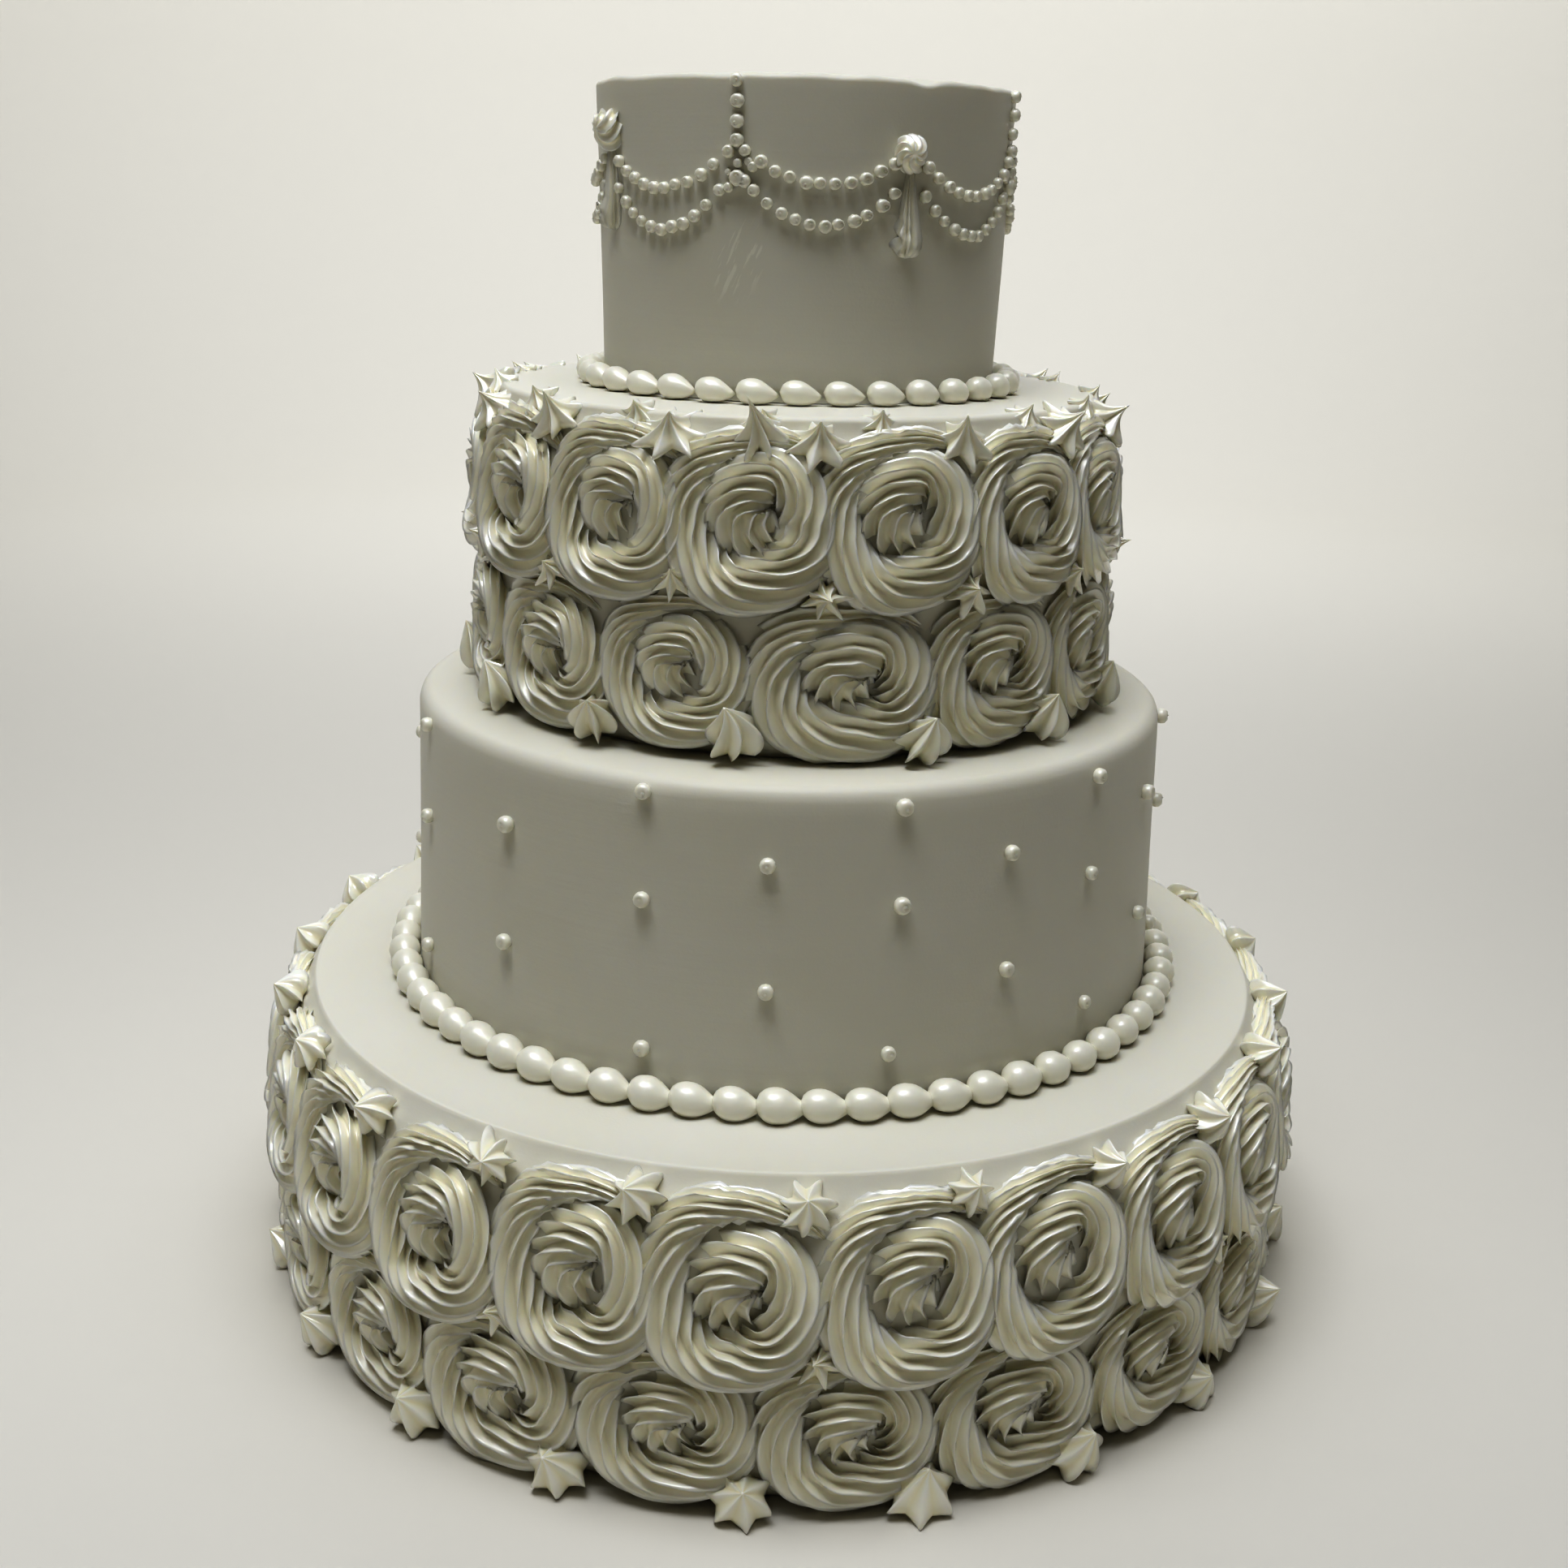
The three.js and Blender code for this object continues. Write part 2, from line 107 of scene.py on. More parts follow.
class Row:
    """A row of rosettes round a tier. Each leans: its foot stands out by the row's lift, its top in."""

    stray = 0.7  # degrees that a rosette strays from even spacing
    last_gap = 0.4  # share of the closing step that the last gap is away from the last rosette
    overlap = 2.5  # millimetres that a rosette reaches over the middle of a gap

    def __init__(self, tier, count, first, height, half_width, half_height, rope, lift, seed, closing=None):
        self.tier = tier
        self.height = height
        self.half_width = half_width
        self.half_height = half_height
        self.rope = rope
        self.lift = lift
        self.seed = seed
        self.closing = closing
        step = (360 - closing) / (count - 1) if closing else 360 / count
        self.angles = [first + step * spot + self.stray * uneven(seed + spot) for spot in range(count)]

    def gaps(self):
        """The angles where rosettes meet: midway, but nearer the last one where the row closes."""
        following = self.angles[1:] + [self.angles[0] + 360]
        gaps = [(here + after) / 2 for here, after in zip(self.angles, following)]
        if self.closing:
            gaps[-1] = self.angles[-1] + self.last_gap * self.closing
        return gaps

    def half_widths(self, spot):
        """How far a rosette reaches to its left and right: it always touches its neighbours."""
        gaps = self.gaps()
        left = self.angles[spot] - (gaps[spot - 1] - (360 if spot == 0 else 0))
        right = gaps[spot] - self.angles[spot]
        reach = self.tier.bottom_radius + 0.5 * self.rope
        return [max(self.half_width, math.radians(side) * reach + self.overlap) for side in (left, right)]


TIER_1 = Tier("tier_1", 212, 212, rim=8.0, swell=8.5, bevel=(5.0, 7.0))
TIER_2 = Tier("tier_2", 162, 158, rim=6)
TIER_3 = Tier("tier_3", 122, 122, rim=2.5, swell=7.0)
TIER_4 = Tier("tier_4", 79.5, 82.5, rim=2.2, crown=4)

TIER_1_UPPER = Row(TIER_1, 23, -3.6, 90.5, 33.5, 38.5, rope=16.5, lift=4.5, seed=100)
TIER_1_LOWER = Row(TIER_1, 21, 7.2, 33.5, 32.5, 32.5, rope=15.5, lift=0.0, seed=200)
TIER_3_UPPER = Row(TIER_3, 15, -6.8, 87.5, 31.5, 33.5, rope=14.0, lift=3.0, seed=300)
TIER_3_LOWER = Row(TIER_3, 14, 10.6, 32.0, 30.5, 30.5, rope=13.5, lift=0.0, seed=400, closing=30.4)

# ---------------------------------------------------------------------------------------------
# Sizes and colours that a user would change
# ---------------------------------------------------------------------------------------------


def count_of(name, default, fewest, most, description):
    return IntProperty(name=name, description=description, default=default, min=fewest, max=most)


def length(name, default, description):
    return FloatProperty(
        name=name, description=description, default=default, unit="LENGTH", subtype="DISTANCE")


def share(name, default, description):
    return FloatProperty(
        name=name, description=description, default=default, subtype="FACTOR", min=0, max=1)


def power(name, default, description):
    return FloatProperty(name=name, description=description, default=default, min=0, unit="POWER")


def angle_of(name, degrees, description):
    return FloatProperty(
        name=name, description=description, default=math.radians(degrees), unit="ROTATION", subtype="ANGLE")


def colour(name, code, description):
    return FloatVectorProperty(
        name=name, description=description, default=linear(code), size=4, min=0, max=1, subtype="COLOR")


def linear(code):
    """An sRGB hex code as linear red, green, blue and alpha."""
    channels = [int(code[start:start + 2], 16) / 255 for start in (1, 3, 5)]
    return tuple(c / 12.92 if c <= 0.04045 else ((c + 0.055) / 1.055) ** 2.4 for c in channels) + (1.0,)


class CakePiping(bpy.types.PropertyGroup):
    """The star nozzles that the rosettes and the stars are piped with."""

    teeth: count_of("Teeth", 12, 5, 16, "Teeth of the nozzle that winds the rosettes")
    groove_depth: share("Groove depth", 0.42, "Depth of a groove as a share of the rope's radius")
    steps: count_of("Steps", 96, 40, 120, "Rings of corners along one wound rope")
    star_teeth: count_of("Star teeth", 7, 5, 8, "Teeth of the nozzle that pipes the stars")
    star_depth: share("Star depth", 0.6, "Depth of a star's valleys as a share of its radius")
    star_twist: angle_of("Star twist", 14, "How far a star's ridges turn on the way to its tip")


class CakePearls(bpy.types.PropertyGroup):
    """Pearls of icing that are piped one by one."""

    dot_radius: length("Dot radius", 0.0031, "Radius of a single pearl on the second tier")
    swag_radius: length("Swag radius", 0.0023, "Radius of a pearl in a swag")
    string_radius: length("String radius", 0.0025, "Radius of a pearl in a hanging string")
    cluster_radius: length("Cluster radius", 0.0031, "Radius of the middle pearl of a cluster")


class CakeIcing(bpy.types.PropertyGroup):
    """The colours of the buttercream, among them the painted shade of its grooves, and how evenly it is
    spread.
    """

    smooth: colour("Smooth", "#e2e0d6", "Spread buttercream")
    smooth_warm: colour("Smooth, warm", "#dfdccc", "Spread buttercream where it lies thicker")
    crest: colour("Crest", "#fbf9ec", "Piped buttercream on its ridges")
    # Painted shade: the groove colour tints the bottoms of the grooves warmer and darker, in place of the
    # shade and warm light thrown back between the ridges.
    groove: colour("Groove", "#f8f1d3", "Piped buttercream down in its grooves")
    pearl: colour("Pearl", "#f9f6e6", "Beads and pearls with a pearl dust")
    waviness: length("Waviness", 0.00035, "How far the spread icing is out of true")


class CakeStudio(bpy.types.PropertyGroup):
    """The plain stage that the cake stands on."""

    floor: colour("Floor", "#e0ddd4", "Floor and backdrop")
    overhead: power("Overhead", 5.0, "Power of the soft box above the cake")
    gleam: power("Gleam", 1.5, "Power of the small soft box that makes the ridges gleam")
    wash: power("Wash", 34, "Power of the soft box that lights the wall behind")
    sky: FloatProperty(
        name="Sky", description="Strength of the even light from all round", default=0.02, min=0)


class CakeSettings(bpy.types.PropertyGroup):
    """All the groups of settings of the cake."""

    piping: PointerProperty(type=CakePiping)
    pearls: PointerProperty(type=CakePearls)
    icing: PointerProperty(type=CakeIcing)
    studio: PointerProperty(type=CakeStudio)


# ---------------------------------------------------------------------------------------------
# Mesh helpers
# ---------------------------------------------------------------------------------------------

# The groove attribute also masks the painted shade in the grooves of the piped buttercream.
GROOVE = "groove"  # attribute of a piece: 0 on a crest, 1 at the bottom of a groove
LOFT_MERGE = 1e-7  # metres between corners of a loft that become one
TURNED_MERGE = 1e-6  # and between corners of a turned skin


def loft(bm, rows, columns, place):
    """A skin of rows by columns, closed round its columns.

    place(row, column) gives a corner's spot and its groove.
    """
    groove = bm.verts.layers.float.get(GROOVE) or bm.verts.layers.float.new(GROOVE)
    made = bmesh.ops.create_grid(bm, x_segments=columns, y_segments=rows, size=1)
    for corner in made["verts"]:
        column = round((corner.co.x + 1) / 2 * columns) % columns
        row = round((corner.co.y + 1) / 2 * rows)
        corner.co, corner[groove] = place(row, column)
    bmesh.ops.remove_doubles(bm, verts=made["verts"], dist=LOFT_MERGE)


def turn_round(bm, profile, steps):
    """A skin turned from half an outline: (radius, height) in metres, from its middle outwards."""
    corners = [bm.verts.new((radius, 0, height)) for radius, height in profile]
    lines = [bm.edges.new(pair) for pair in zip(corners, corners[1:])]
    bmesh.ops.spin(
        bm, geom=corners + lines, cent=(0, 0, 0), axis=(0, 0, 1), angle=TURN, steps=steps, use_merge=True,
        use_duplicate=False)
    bmesh.ops.remove_doubles(bm, verts=bm.verts, dist=TURNED_MERGE)


def join(bm, other):
    """Adds a small bmesh to a larger one. Shaping a piece in its own bmesh first is much quicker."""
    bm.verts.layers.float.get(GROOVE) or bm.verts.layers.float.new(GROOVE)
    mesh = bpy.data.meshes.new("part")
    other.to_mesh(mesh)
    other.free()
    bm.from_mesh(mesh)
    bpy.data.meshes.remove(mesh)


def through(stations, way):
    """A smooth curve through stations, which each start with their own share of the way."""
    last = len(stations) - 2
    index = max(i for i in range(last + 1) if stations[i][0] <= way or i == 0)
    before, after = stations[index], stations[index + 1]
    earlier, later = stations[max(index - 1, 0)], stations[min(index + 2, last + 1)]
    span = after[0] - before[0]
    t = (way - before[0]) / span
    values = []
    for a, b, c, d in zip(earlier[1:], before[1:], after[1:], later[1:]):
        leaving = (c - a) / (after[0] - earlier[0]) * span
        arriving = (d - b) / (later[0] - before[0]) * span
        values.append(
            b * (2 * t**3 - 3 * t**2 + 1) + leaving * (t**3 - 2 * t**2 + t)
            + c * (3 * t**2 - 2 * t**3) + arriving * (t**3 - t**2)
        )
    return values


def add_object(name, data):
    """An object of a mesh, a lamp or a camera, in the scene."""
    made = bpy.data.objects.new(name, data)
    bpy.context.scene.collection.objects.link(made)
    return made


def add_mesh(bm, name, material):
    """An object of a finished bmesh, shaded smooth."""
    mesh = bpy.data.meshes.new(name)
    bm.to_mesh(mesh)
    bm.free()
    mesh.shade_smooth()
    mesh.materials.append(material)
    return add_object(name, mesh)


def finish_piece(bm, name, material, node):
    """The finished piece: facing out, smooth, and riding on the cake in the place of its node."""
    bmesh.ops.recalc_face_normals(bm, faces=bm.faces)
    piece = add_mesh(bm, name, material)
    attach(piece, "root")
    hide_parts(node)
    return piece


# ---------------------------------------------------------------------------------------------
# Materials
# ---------------------------------------------------------------------------------------------


def add_node(tree, kind, inputs=None, **settings):
    """Adds a node to a tree, with its settings, and its inputs as values or as sockets to link."""
    node = tree.nodes.new(kind)
    for name, value in settings.items():
        setattr(node, name, value)
    for socket, value in (inputs or {}).items():
        if isinstance(value, bpy.types.NodeSocket):
            tree.links.new(value, node.inputs[socket])
        else:
            node.inputs[socket].default_value = value
    return node


finished_materials = {}


def new_material(name):
    """The material of that name and its emptied node tree, or no tree if it is finished already."""
    if name in finished_materials:
        return finished_materials[name], None
    material = bpy.data.materials.get(name) or bpy.data.materials.new(name)
    material.use_nodes = True
    material.node_tree.nodes.clear()
    finished_materials[name] = material
    return material, material.node_tree


def smooth_buttercream():
    """Buttercream, spread and drawn smooth with a long scraper: satin, with faint level streaks."""
    material, tree = new_material("smooth_buttercream")
    if tree is None:
        return material
    icing = bpy.context.scene.cake.icing
    spot = add_node(tree, "ShaderNodeTexCoord").outputs["Object"]
    # Thicker and thinner icing in patches about 60 mm across.
    patches = add_node(tree, "ShaderNodeTexNoise", {"Vector": spot, "Scale": 16.0, "Detail": 2.0})
    tint = add_node(tree, "ShaderNodeMix", {
        "Factor": patches.outputs["Fac"], "A": tuple(icing.smooth), "B": tuple(icing.smooth_warm),
    }, data_type="RGBA")
    # The scraper leaves level streaks, about 4 mm apart and 80 mm long.
    level = add_node(tree, "ShaderNodeMapping", {"Vector": spot, "Scale": (12, 12, 250)})
    streaks = add_node(tree, "ShaderNodeTexNoise", {
        "Vector": level.outputs["Vector"], "Scale": 1.0, "Detail": 3.0,
    })
    # Sugar grains, drawn about 1 mm coarse so that they show.
    grain = add_node(tree, "ShaderNodeTexNoise", {"Vector": spot, "Scale": 900.0, "Detail": 2.0})
    # A scuff, 22 mm wide and 36 mm high, below one of the clusters of the top tier. Its pale flakes
    # are about 2 mm wide and 11 mm long.
    scuff = add_node(tree, "ShaderNodeMapping", {
        "Vector": spot, "Location": (-0.0226, -0.079, 0.431), "Rotation": (0, math.radians(24), 0),
        "Scale": (0.011, 0.02, 0.018),
    }, vector_type="TEXTURE")
    ball = add_node(
        tree, "ShaderNodeTexGradient", {"Vector": scuff.outputs["Vector"]}, gradient_type="SPHERICAL")
    reach = add_node(tree, "ShaderNodeMapRange", {
        "Value": ball.outputs["Fac"], "From Max": 0.4, "To Max": 0.4,
    })
    along = add_node(tree, "ShaderNodeMapping", {"Vector": scuff.outputs["Vector"], "Scale": (7, 1, 1.6)})
    torn = add_node(tree, "ShaderNodeTexNoise", {
        "Vector": along.outputs["Vector"], "Scale": 1.0, "Detail": 4.0,
    })
    flakes = add_node(tree, "ShaderNodeMapRange", {
        "Value": torn.outputs["Fac"], "From Min": 0.57, "From Max": 0.62, "To Max": reach.outputs["Result"],
    })
    scuffed = add_node(tree, "ShaderNodeMix", {
        "Factor": flakes.outputs["Result"], "A": tint.outputs["Result"], "B": tuple(icing.crest),
    }, data_type="RGBA")
    # The relief is the streaks, with a third of the grain and the whole of the flakes on them.
    fine = add_node(tree, "ShaderNodeMath", {
        0: flakes.outputs["Result"], 1: 3.0, 2: grain.outputs["Fac"],
    }, operation="MULTIPLY_ADD")
    relief = add_node(tree, "ShaderNodeMath", {
        0: fine.outputs["Value"], 1: 0.35, 2: streaks.outputs["Fac"],
    }, operation="MULTIPLY_ADD")
    bump = add_node(tree, "ShaderNodeBump", {
        "Height": relief.outputs["Value"], "Strength": 0.25, "Distance": 0.0004,
    })
    shader = add_node(tree, "ShaderNodeBsdfPrincipled", {
        "Base Color": scuffed.outputs["Result"], "Normal": bump.outputs["Normal"], "Roughness": 0.48,
        "IOR": 1.45, "Specular IOR Level": 0.45, "Subsurface Weight": 0.3,
        "Subsurface Radius": (1.0, 0.8, 0.45), "Subsurface Scale": 0.004,
    })
    add_node(tree, "ShaderNodeOutputMaterial", {"Surface": shader.outputs["BSDF"]})
    return material


def piped_buttercream():
    """Buttercream, pushed through a star nozzle and dusted with pearl: satin crests, and painted shade,
    warmer and darker, in the bottoms of the grooves.
    """
    material, tree = new_material("piped_buttercream")
    if tree is None:
        return material
    icing = bpy.context.scene.cake.icing
    spot = add_node(tree, "ShaderNodeTexCoord").outputs["Object"]
    groove = add_node(tree, "ShaderNodeAttribute", attribute_name=GROOVE)
    # Painted shade: a warmer, darker tint in the bottoms of the grooves, where the shade and the light
    # thrown back between the ridges would fall.
    groove_shade_mask = add_node(tree, "ShaderNodeMath", {0: groove.outputs["Fac"], 1: 2.0}, operation="POWER")
    tint = add_node(tree, "ShaderNodeMix", {
        "Factor": groove_shade_mask.outputs["Value"], "A": tuple(icing.crest), "B": tuple(icing.groove),
    }, data_type="RGBA")
    # The dry skin of the icing drags into grains of about 1 mm.
    grain = add_node(tree, "ShaderNodeTexNoise", {"Vector": spot, "Scale": 800.0, "Detail": 3.0})
    bump = add_node(tree, "ShaderNodeBump", {
        "Height": grain.outputs["Fac"], "Strength": 0.2, "Distance": 0.0003,
    })
    shader = add_node(tree, "ShaderNodeBsdfPrincipled", {
        "Base Color": tint.outputs["Result"], "Normal": bump.outputs["Normal"], "Roughness": 0.29,
        "IOR": 1.55, "Specular IOR Level": 1.0, "Subsurface Weight": 0.3,
        "Subsurface Radius": (1.0, 0.8, 0.4), "Subsurface Scale": 0.0012, "Coat Weight": 0.7,
        "Coat Roughness": 0.23,
    })
    add_node(tree, "ShaderNodeOutputMaterial", {"Surface": shader.outputs["BSDF"]})
    return material


def pearl_buttercream():
    """Stiff buttercream, piped into beads and brushed with pearl dust: smooth, with a soft gleam."""
    material, tree = new_material("pearl_buttercream")
    if tree is None:
        return material
    icing = bpy.context.scene.cake.icing
    spot = add_node(tree, "ShaderNodeTexCoord").outputs["Object"]
    # The brush leaves soft dimples of about 3 mm.
    dimples = add_node(tree, "ShaderNodeTexNoise", {"Vector": spot, "Scale": 300.0, "Detail": 1.0})
    bump = add_node(tree, "ShaderNodeBump", {
        "Height": dimples.outputs["Fac"], "Strength": 0.2, "Distance": 0.0006,
    })
    shader = add_node(tree, "ShaderNodeBsdfPrincipled", {
        "Base Color": tuple(icing.pearl), "Normal": bump.outputs["Normal"], "Roughness": 0.36,
        "IOR": 1.6, "Specular IOR Level": 1.0, "Subsurface Weight": 0.2,
        "Subsurface Radius": (1.0, 0.8, 0.45), "Subsurface Scale": 0.002, "Coat Weight": 0.4,
        "Coat Roughness": 0.3,
    })
    add_node(tree, "ShaderNodeOutputMaterial", {"Surface": shader.outputs["BSDF"]})
    return material


def studio_floor():
    """Matt painted board, plain and pale."""
    material, tree = new_material("studio_floor")
    if tree is None:
        return material
    shader = add_node(tree, "ShaderNodeBsdfPrincipled", {
        "Base Color": tuple(bpy.context.scene.cake.studio.floor), "Roughness": 0.9,
        "Specular IOR Level": 0.1,
    })
    add_node(tree, "ShaderNodeOutputMaterial", {"Surface": shader.outputs["BSDF"]})
    return material


# ---------------------------------------------------------------------------------------------
# The iced tiers
# ---------------------------------------------------------------------------------------------

TIER_STEPS = 240
WALL_ROWS = 20
RIM_ROWS = 6
TOP_RINGS = 16
SWELL_RISE = 12  # height above the base where the icing behind a crust has its full thickness
SWELL_FALL = 20  # and how far below the rim it begins to thin out
BEVEL_SET_BACK = 1  # how far the foot of a slanted rim stands back from the wall
BEVEL_LIP = ((0.8, -1), (0, 0), (-0.6, 0.4), (-2, 0))  # out and up from the inner edge of that rim
LEVEL_FOOT = 1e-5  # metres above its base up to which a tier isn't pushed out of true
WAVES_PER_METRE = 22
WAVES_FROM = Vector((0, 0, 7))
NICK = {"angle": 32.4, "width": 4.0, "depth": 1.6}  # a knock in the rim of the top tier
# The ragged rim of the top tier: how far in its middle is, how far it reaches to either side and
# down, how deep it is, and how many rags there are in a metre.
RAGGED = {"inwards": 1.5, "reach": 5, "down": 6, "depth": 0.7, "per_metre": 90}


def tier_profile(tier):
    """Half the outline of a tier, from the middle of its base round to the middle of its top."""
    profile = [(0, 0)]
    wall = tier.height - tier.rim
    for row in range(WALL_ROWS + 1):
        height = wall * row / WALL_ROWS
        swell = tier.swell * min(1.0, height / SWELL_RISE, (wall - height) / SWELL_FALL)
        profile.append((tier.radius(height) + swell, height))
    if tier.bevel:
        inwards, down = tier.bevel
        edge = tier.top_radius - inwards
        profile.append((tier.top_radius - BEVEL_SET_BACK, tier.height - down))
        profile += [(edge + out, tier.height + up) for out, up in BEVEL_LIP]
    else:
        for row in range(1, RIM_ROWS + 1):
            turn = math.radians(90 * row / RIM_ROWS)
            radius = tier.top_radius - tier.rim * (1 - math.cos(turn))
            profile.append((radius, tier.height - tier.rim * (1 - math.sin(turn))))
    inner = tier.top_radius - tier.rim
    for ring in range(1, TOP_RINGS + 1):
        away = 1 - ring / TOP_RINGS
        profile.append((inner * away, tier.height + tier.crown * (1 - away**2)))
    return profile


def ice_tier(tier):
    """One tier: a turned drum, then pushed a little out of true, as spread icing is."""
    bm = bmesh.new()
    profile = [(radius * MM, (tier.base + height) * MM) for radius, height in tier_profile(tier)]
    turn_round(bm, profile, TIER_STEPS)
    bm.normal_update()
    waviness = bpy.context.scene.cake.icing.waviness
    foot = tier.base * MM + LEVEL_FOOT
    shifts = [
        (corner, corner.normal * waviness * noise.noise(corner.co * WAVES_PER_METRE + WAVES_FROM))
        for corner in bm.verts if corner.co.z > foot]
    for corner, shift in shifts:
        corner.co += shift
    if tier is TIER_4:
        knock_rim(bm, tier)
    return finish_piece(bm, tier.node + "_icing", smooth_buttercream(), tier.node)


def knock_rim(bm, tier):
    """A small knock in the rim, and a rim that is a little ragged all round."""
    top = (tier.base + tier.height) * MM
    for corner in bm.verts:
        radius = corner.co.xy.length / MM
        aside = abs(radius - (tier.top_radius - RAGGED["inwards"]))
        near_rim = max(0.0, 1 - aside / RAGGED["reach"])
        if near_rim == 0 or corner.co.z < top - RAGGED["down"] * MM:
            continue
        angle = math.degrees(math.atan2(corner.co.x, -corner.co.y))
        knock = math.exp(-(((angle - NICK["angle"]) / NICK["width"]) ** 2)) * NICK["depth"]
        ragged = RAGGED["depth"] * noise.noise(corner.co * RAGGED["per_metre"])
        corner.co.z += (ragged - knock) * near_rim * MM


# ---------------------------------------------------------------------------------------------
# Rosettes and stars
# ---------------------------------------------------------------------------------------------

# Corners of one tooth of a nozzle's outline: a share of the way to the next tooth.
ROPE_CORNERS = (0.0, 0.07, 0.25, 0.5, 0.75, 0.93)
STAR_CORNERS = (0.0, 0.07, 0.27, 0.5, 0.73, 0.93)
STRAND_CORNERS = (0.0, 0.18, 0.5, 0.82)

# The way of the nozzle over a rosette: the share of its whole way, how far it is to the right of
# the middle and above it as shares of the half width and height, the rope's girth, from its middle
# to its crests, as a share of the half width, and its rise from the wall as a share of its height.
WINDING = (
    (0.000, 0.10, -0.12, 0.00, -0.05),
    (0.012, 0.08, -0.12, 0.28, 0.02),
    (0.035, 0.00, -0.09, 0.38, 0.20),
    (0.060, -0.09, 0.04, 0.40, 0.33),
    (0.090, -0.10, 0.22, 0.38, 0.42),
    (0.130, 0.06, 0.38, 0.34, 0.46),
    (0.175, 0.34, 0.42, 0.32, 0.46),
    (0.230, 0.56, 0.24, 0.33, 0.44),
    (0.285, 0.64, -0.04, 0.34, 0.42),
    (0.350, 0.54, -0.38, 0.36, 0.41),
    (0.420, 0.25, -0.59, 0.37, 0.41),
    (0.495, -0.18, -0.63, 0.365, 0.41),
    (0.570, -0.52, -0.44, 0.34, 0.41),
    (0.645, -0.69, -0.03, 0.31, 0.41),
    (0.720, -0.63, 0.42, 0.28, 0.40),
    (0.790, -0.40, 0.70, 0.24, 0.38),
    (0.855, -0.03, 0.82, 0.18, 0.36),
    (0.920, 0.36, 0.82, 0.14, 0.38),
    (0.970, 0.64, 0.74, 0.09, 0.42),
    (1.000, 0.82, 0.64, 0.00, 0.42),
)


# How much a rosette may differ from the others, to either side.
ROSETTE_STRAY = {"size": 0.025, "up": 1.2, "turn": 11, "drift": 0.05, "eye": 0.14, "girth": 0.06}
CROWDING = 1.5  # power that crowds the rings of corners into the eye, where the rope bends most
EYE_END = 0.3  # share of the way where the eye ends
SQUARENESS = 0.045  # how far its neighbours squeeze a rosette out of the round, and how softly
SQUARE_SOFTNESS = 0.1
WOBBLE = {"size": 0.02, "per_way": 9}  # the rope swells and thins as it leaves the nozzle
TAIL_START = 0.72  # share of the rings of corners after which the crests tear
TORN = {"size": 0.48, "per_ring": 0.9}
RIDGE = {"size": 0.022, "per_ring": 0.05, "per_tooth": 3}  # crests are a little higher and lower
PRESSED = 0.52  # half the thickness of a pressed rope, as a share of its height off the wall
MEAN_GIRTH = 0.29  # the girth that this goes with, as a share of the half width
ROPE_FLOOR = 0.4  # the lowest that a rope goes, above its tier's base


def nozzle_outline(teeth, depth, corners, bluntness=0.8):
    """(angle, reach, groove) round a star nozzle: scooped grooves between crests, sharp or blunt."""
    outline = []
    for tooth in range(teeth):
        for way in corners:
            scoop = math.sin(math.pi * way) ** bluntness
            outline.append((TURN * (tooth + way) / teeth, 1 - depth * scoop, scoop))
    return outline


def wind_rope(bm, place, outline, steps, sides, half_height, rope, lift, floor, seed):
    """A ridged rope, wound clockwise out of the middle of a rosette to a tail at its upper right.

    The baker never turns the nozzle, so each tooth always points the same way: every ridge is the
    nozzle's own way, moved aside, and crosses the rope from its outer to its inner edge.
    """
    stray = ROSETTE_STRAY
    turned = math.radians(stray["turn"] * uneven(seed + 33))
    held = TURN * uneven(seed + 38)
    drift = Vector((stray["drift"] * uneven(seed + 35), stray["drift"] * uneven(seed + 36)))
    eye_size = stray["eye"] * uneven(seed + 39)
    thick = 1 + stray["girth"] * uneven(seed + 37)
    width = sum(sides) / 2
    phase = 10 * uneven(seed + 40)

    spots = []
    for step in range(steps + 1):
        way = (step / steps) ** CROWDING
        x, y, girth, rise = through(WINDING, way)
        early = max(0.0, 1 - way / EYE_END)
        spot = Vector((x, y)) * (1 + eye_size * early) + drift * early
        spot.rotate(Matrix.Rotation(turned, 2))
        spot *= 1 + SQUARENESS * abs(spot.x * spot.y) / (SQUARE_SOFTNESS + spot.length_squared)
        wobble = 1 + WOBBLE["size"] * noise.noise(Vector((WOBBLE["per_way"] * way, phase, 0)))
        side = sides[0] if spot.x < 0 else sides[1]
        spots.append((spot.x * side, spot.y * half_height, rise * rope, girth * width * thick * wobble))

    rings = []
    for step, (x, y, rise, girth) in enumerate(spots):
        before, after = spots[max(step - 1, 0)], spots[min(step + 1, steps)]
        heading = Vector((after[0] - before[0], after[1] - before[1]))
        pitch = math.atan2(heading.length, after[2] - before[2])
        heading.normalize()
        out = rise - lift * y / half_height
        late = max(0.0, step / steps - TAIL_START) / (1 - TAIL_START)
        rings.append((x, y, out, girth, heading, math.sin(pitch), math.cos(pitch), late))

    flatness = rope * PRESSED / (MEAN_GIRTH * width)

    def corner(ring, column):
        x, y, rise, girth, heading, level, climb, late = rings[ring]
        turn, reach, groove = outline[column]
        crest = 1 - groove
        torn = TORN["size"] * late * noise.noise(Vector((ring * TORN["per_ring"], column, phase)))
        tooth = RIDGE["per_tooth"] * (column // len(ROPE_CORNERS))
        ridge = RIDGE["size"] * noise.noise(Vector((ring * RIDGE["per_ring"], tooth, phase)))
        radius = girth * (reach + crest * (torn + ridge))
        side_x = math.cos(turn + held)
        side_y = math.sin(turn + held)
        inward = (side_x * heading.y - side_y * heading.x) * radius
        ahead = (side_x * heading.x + side_y * heading.y) * radius
        across = x + inward * heading.y + ahead * climb * heading.x
        up = y - inward * heading.x + ahead * climb * heading.y
        return place(across, max(up, floor), rise - ahead * level * flatness), groove

    loft(bm, steps, len(outline), corner)


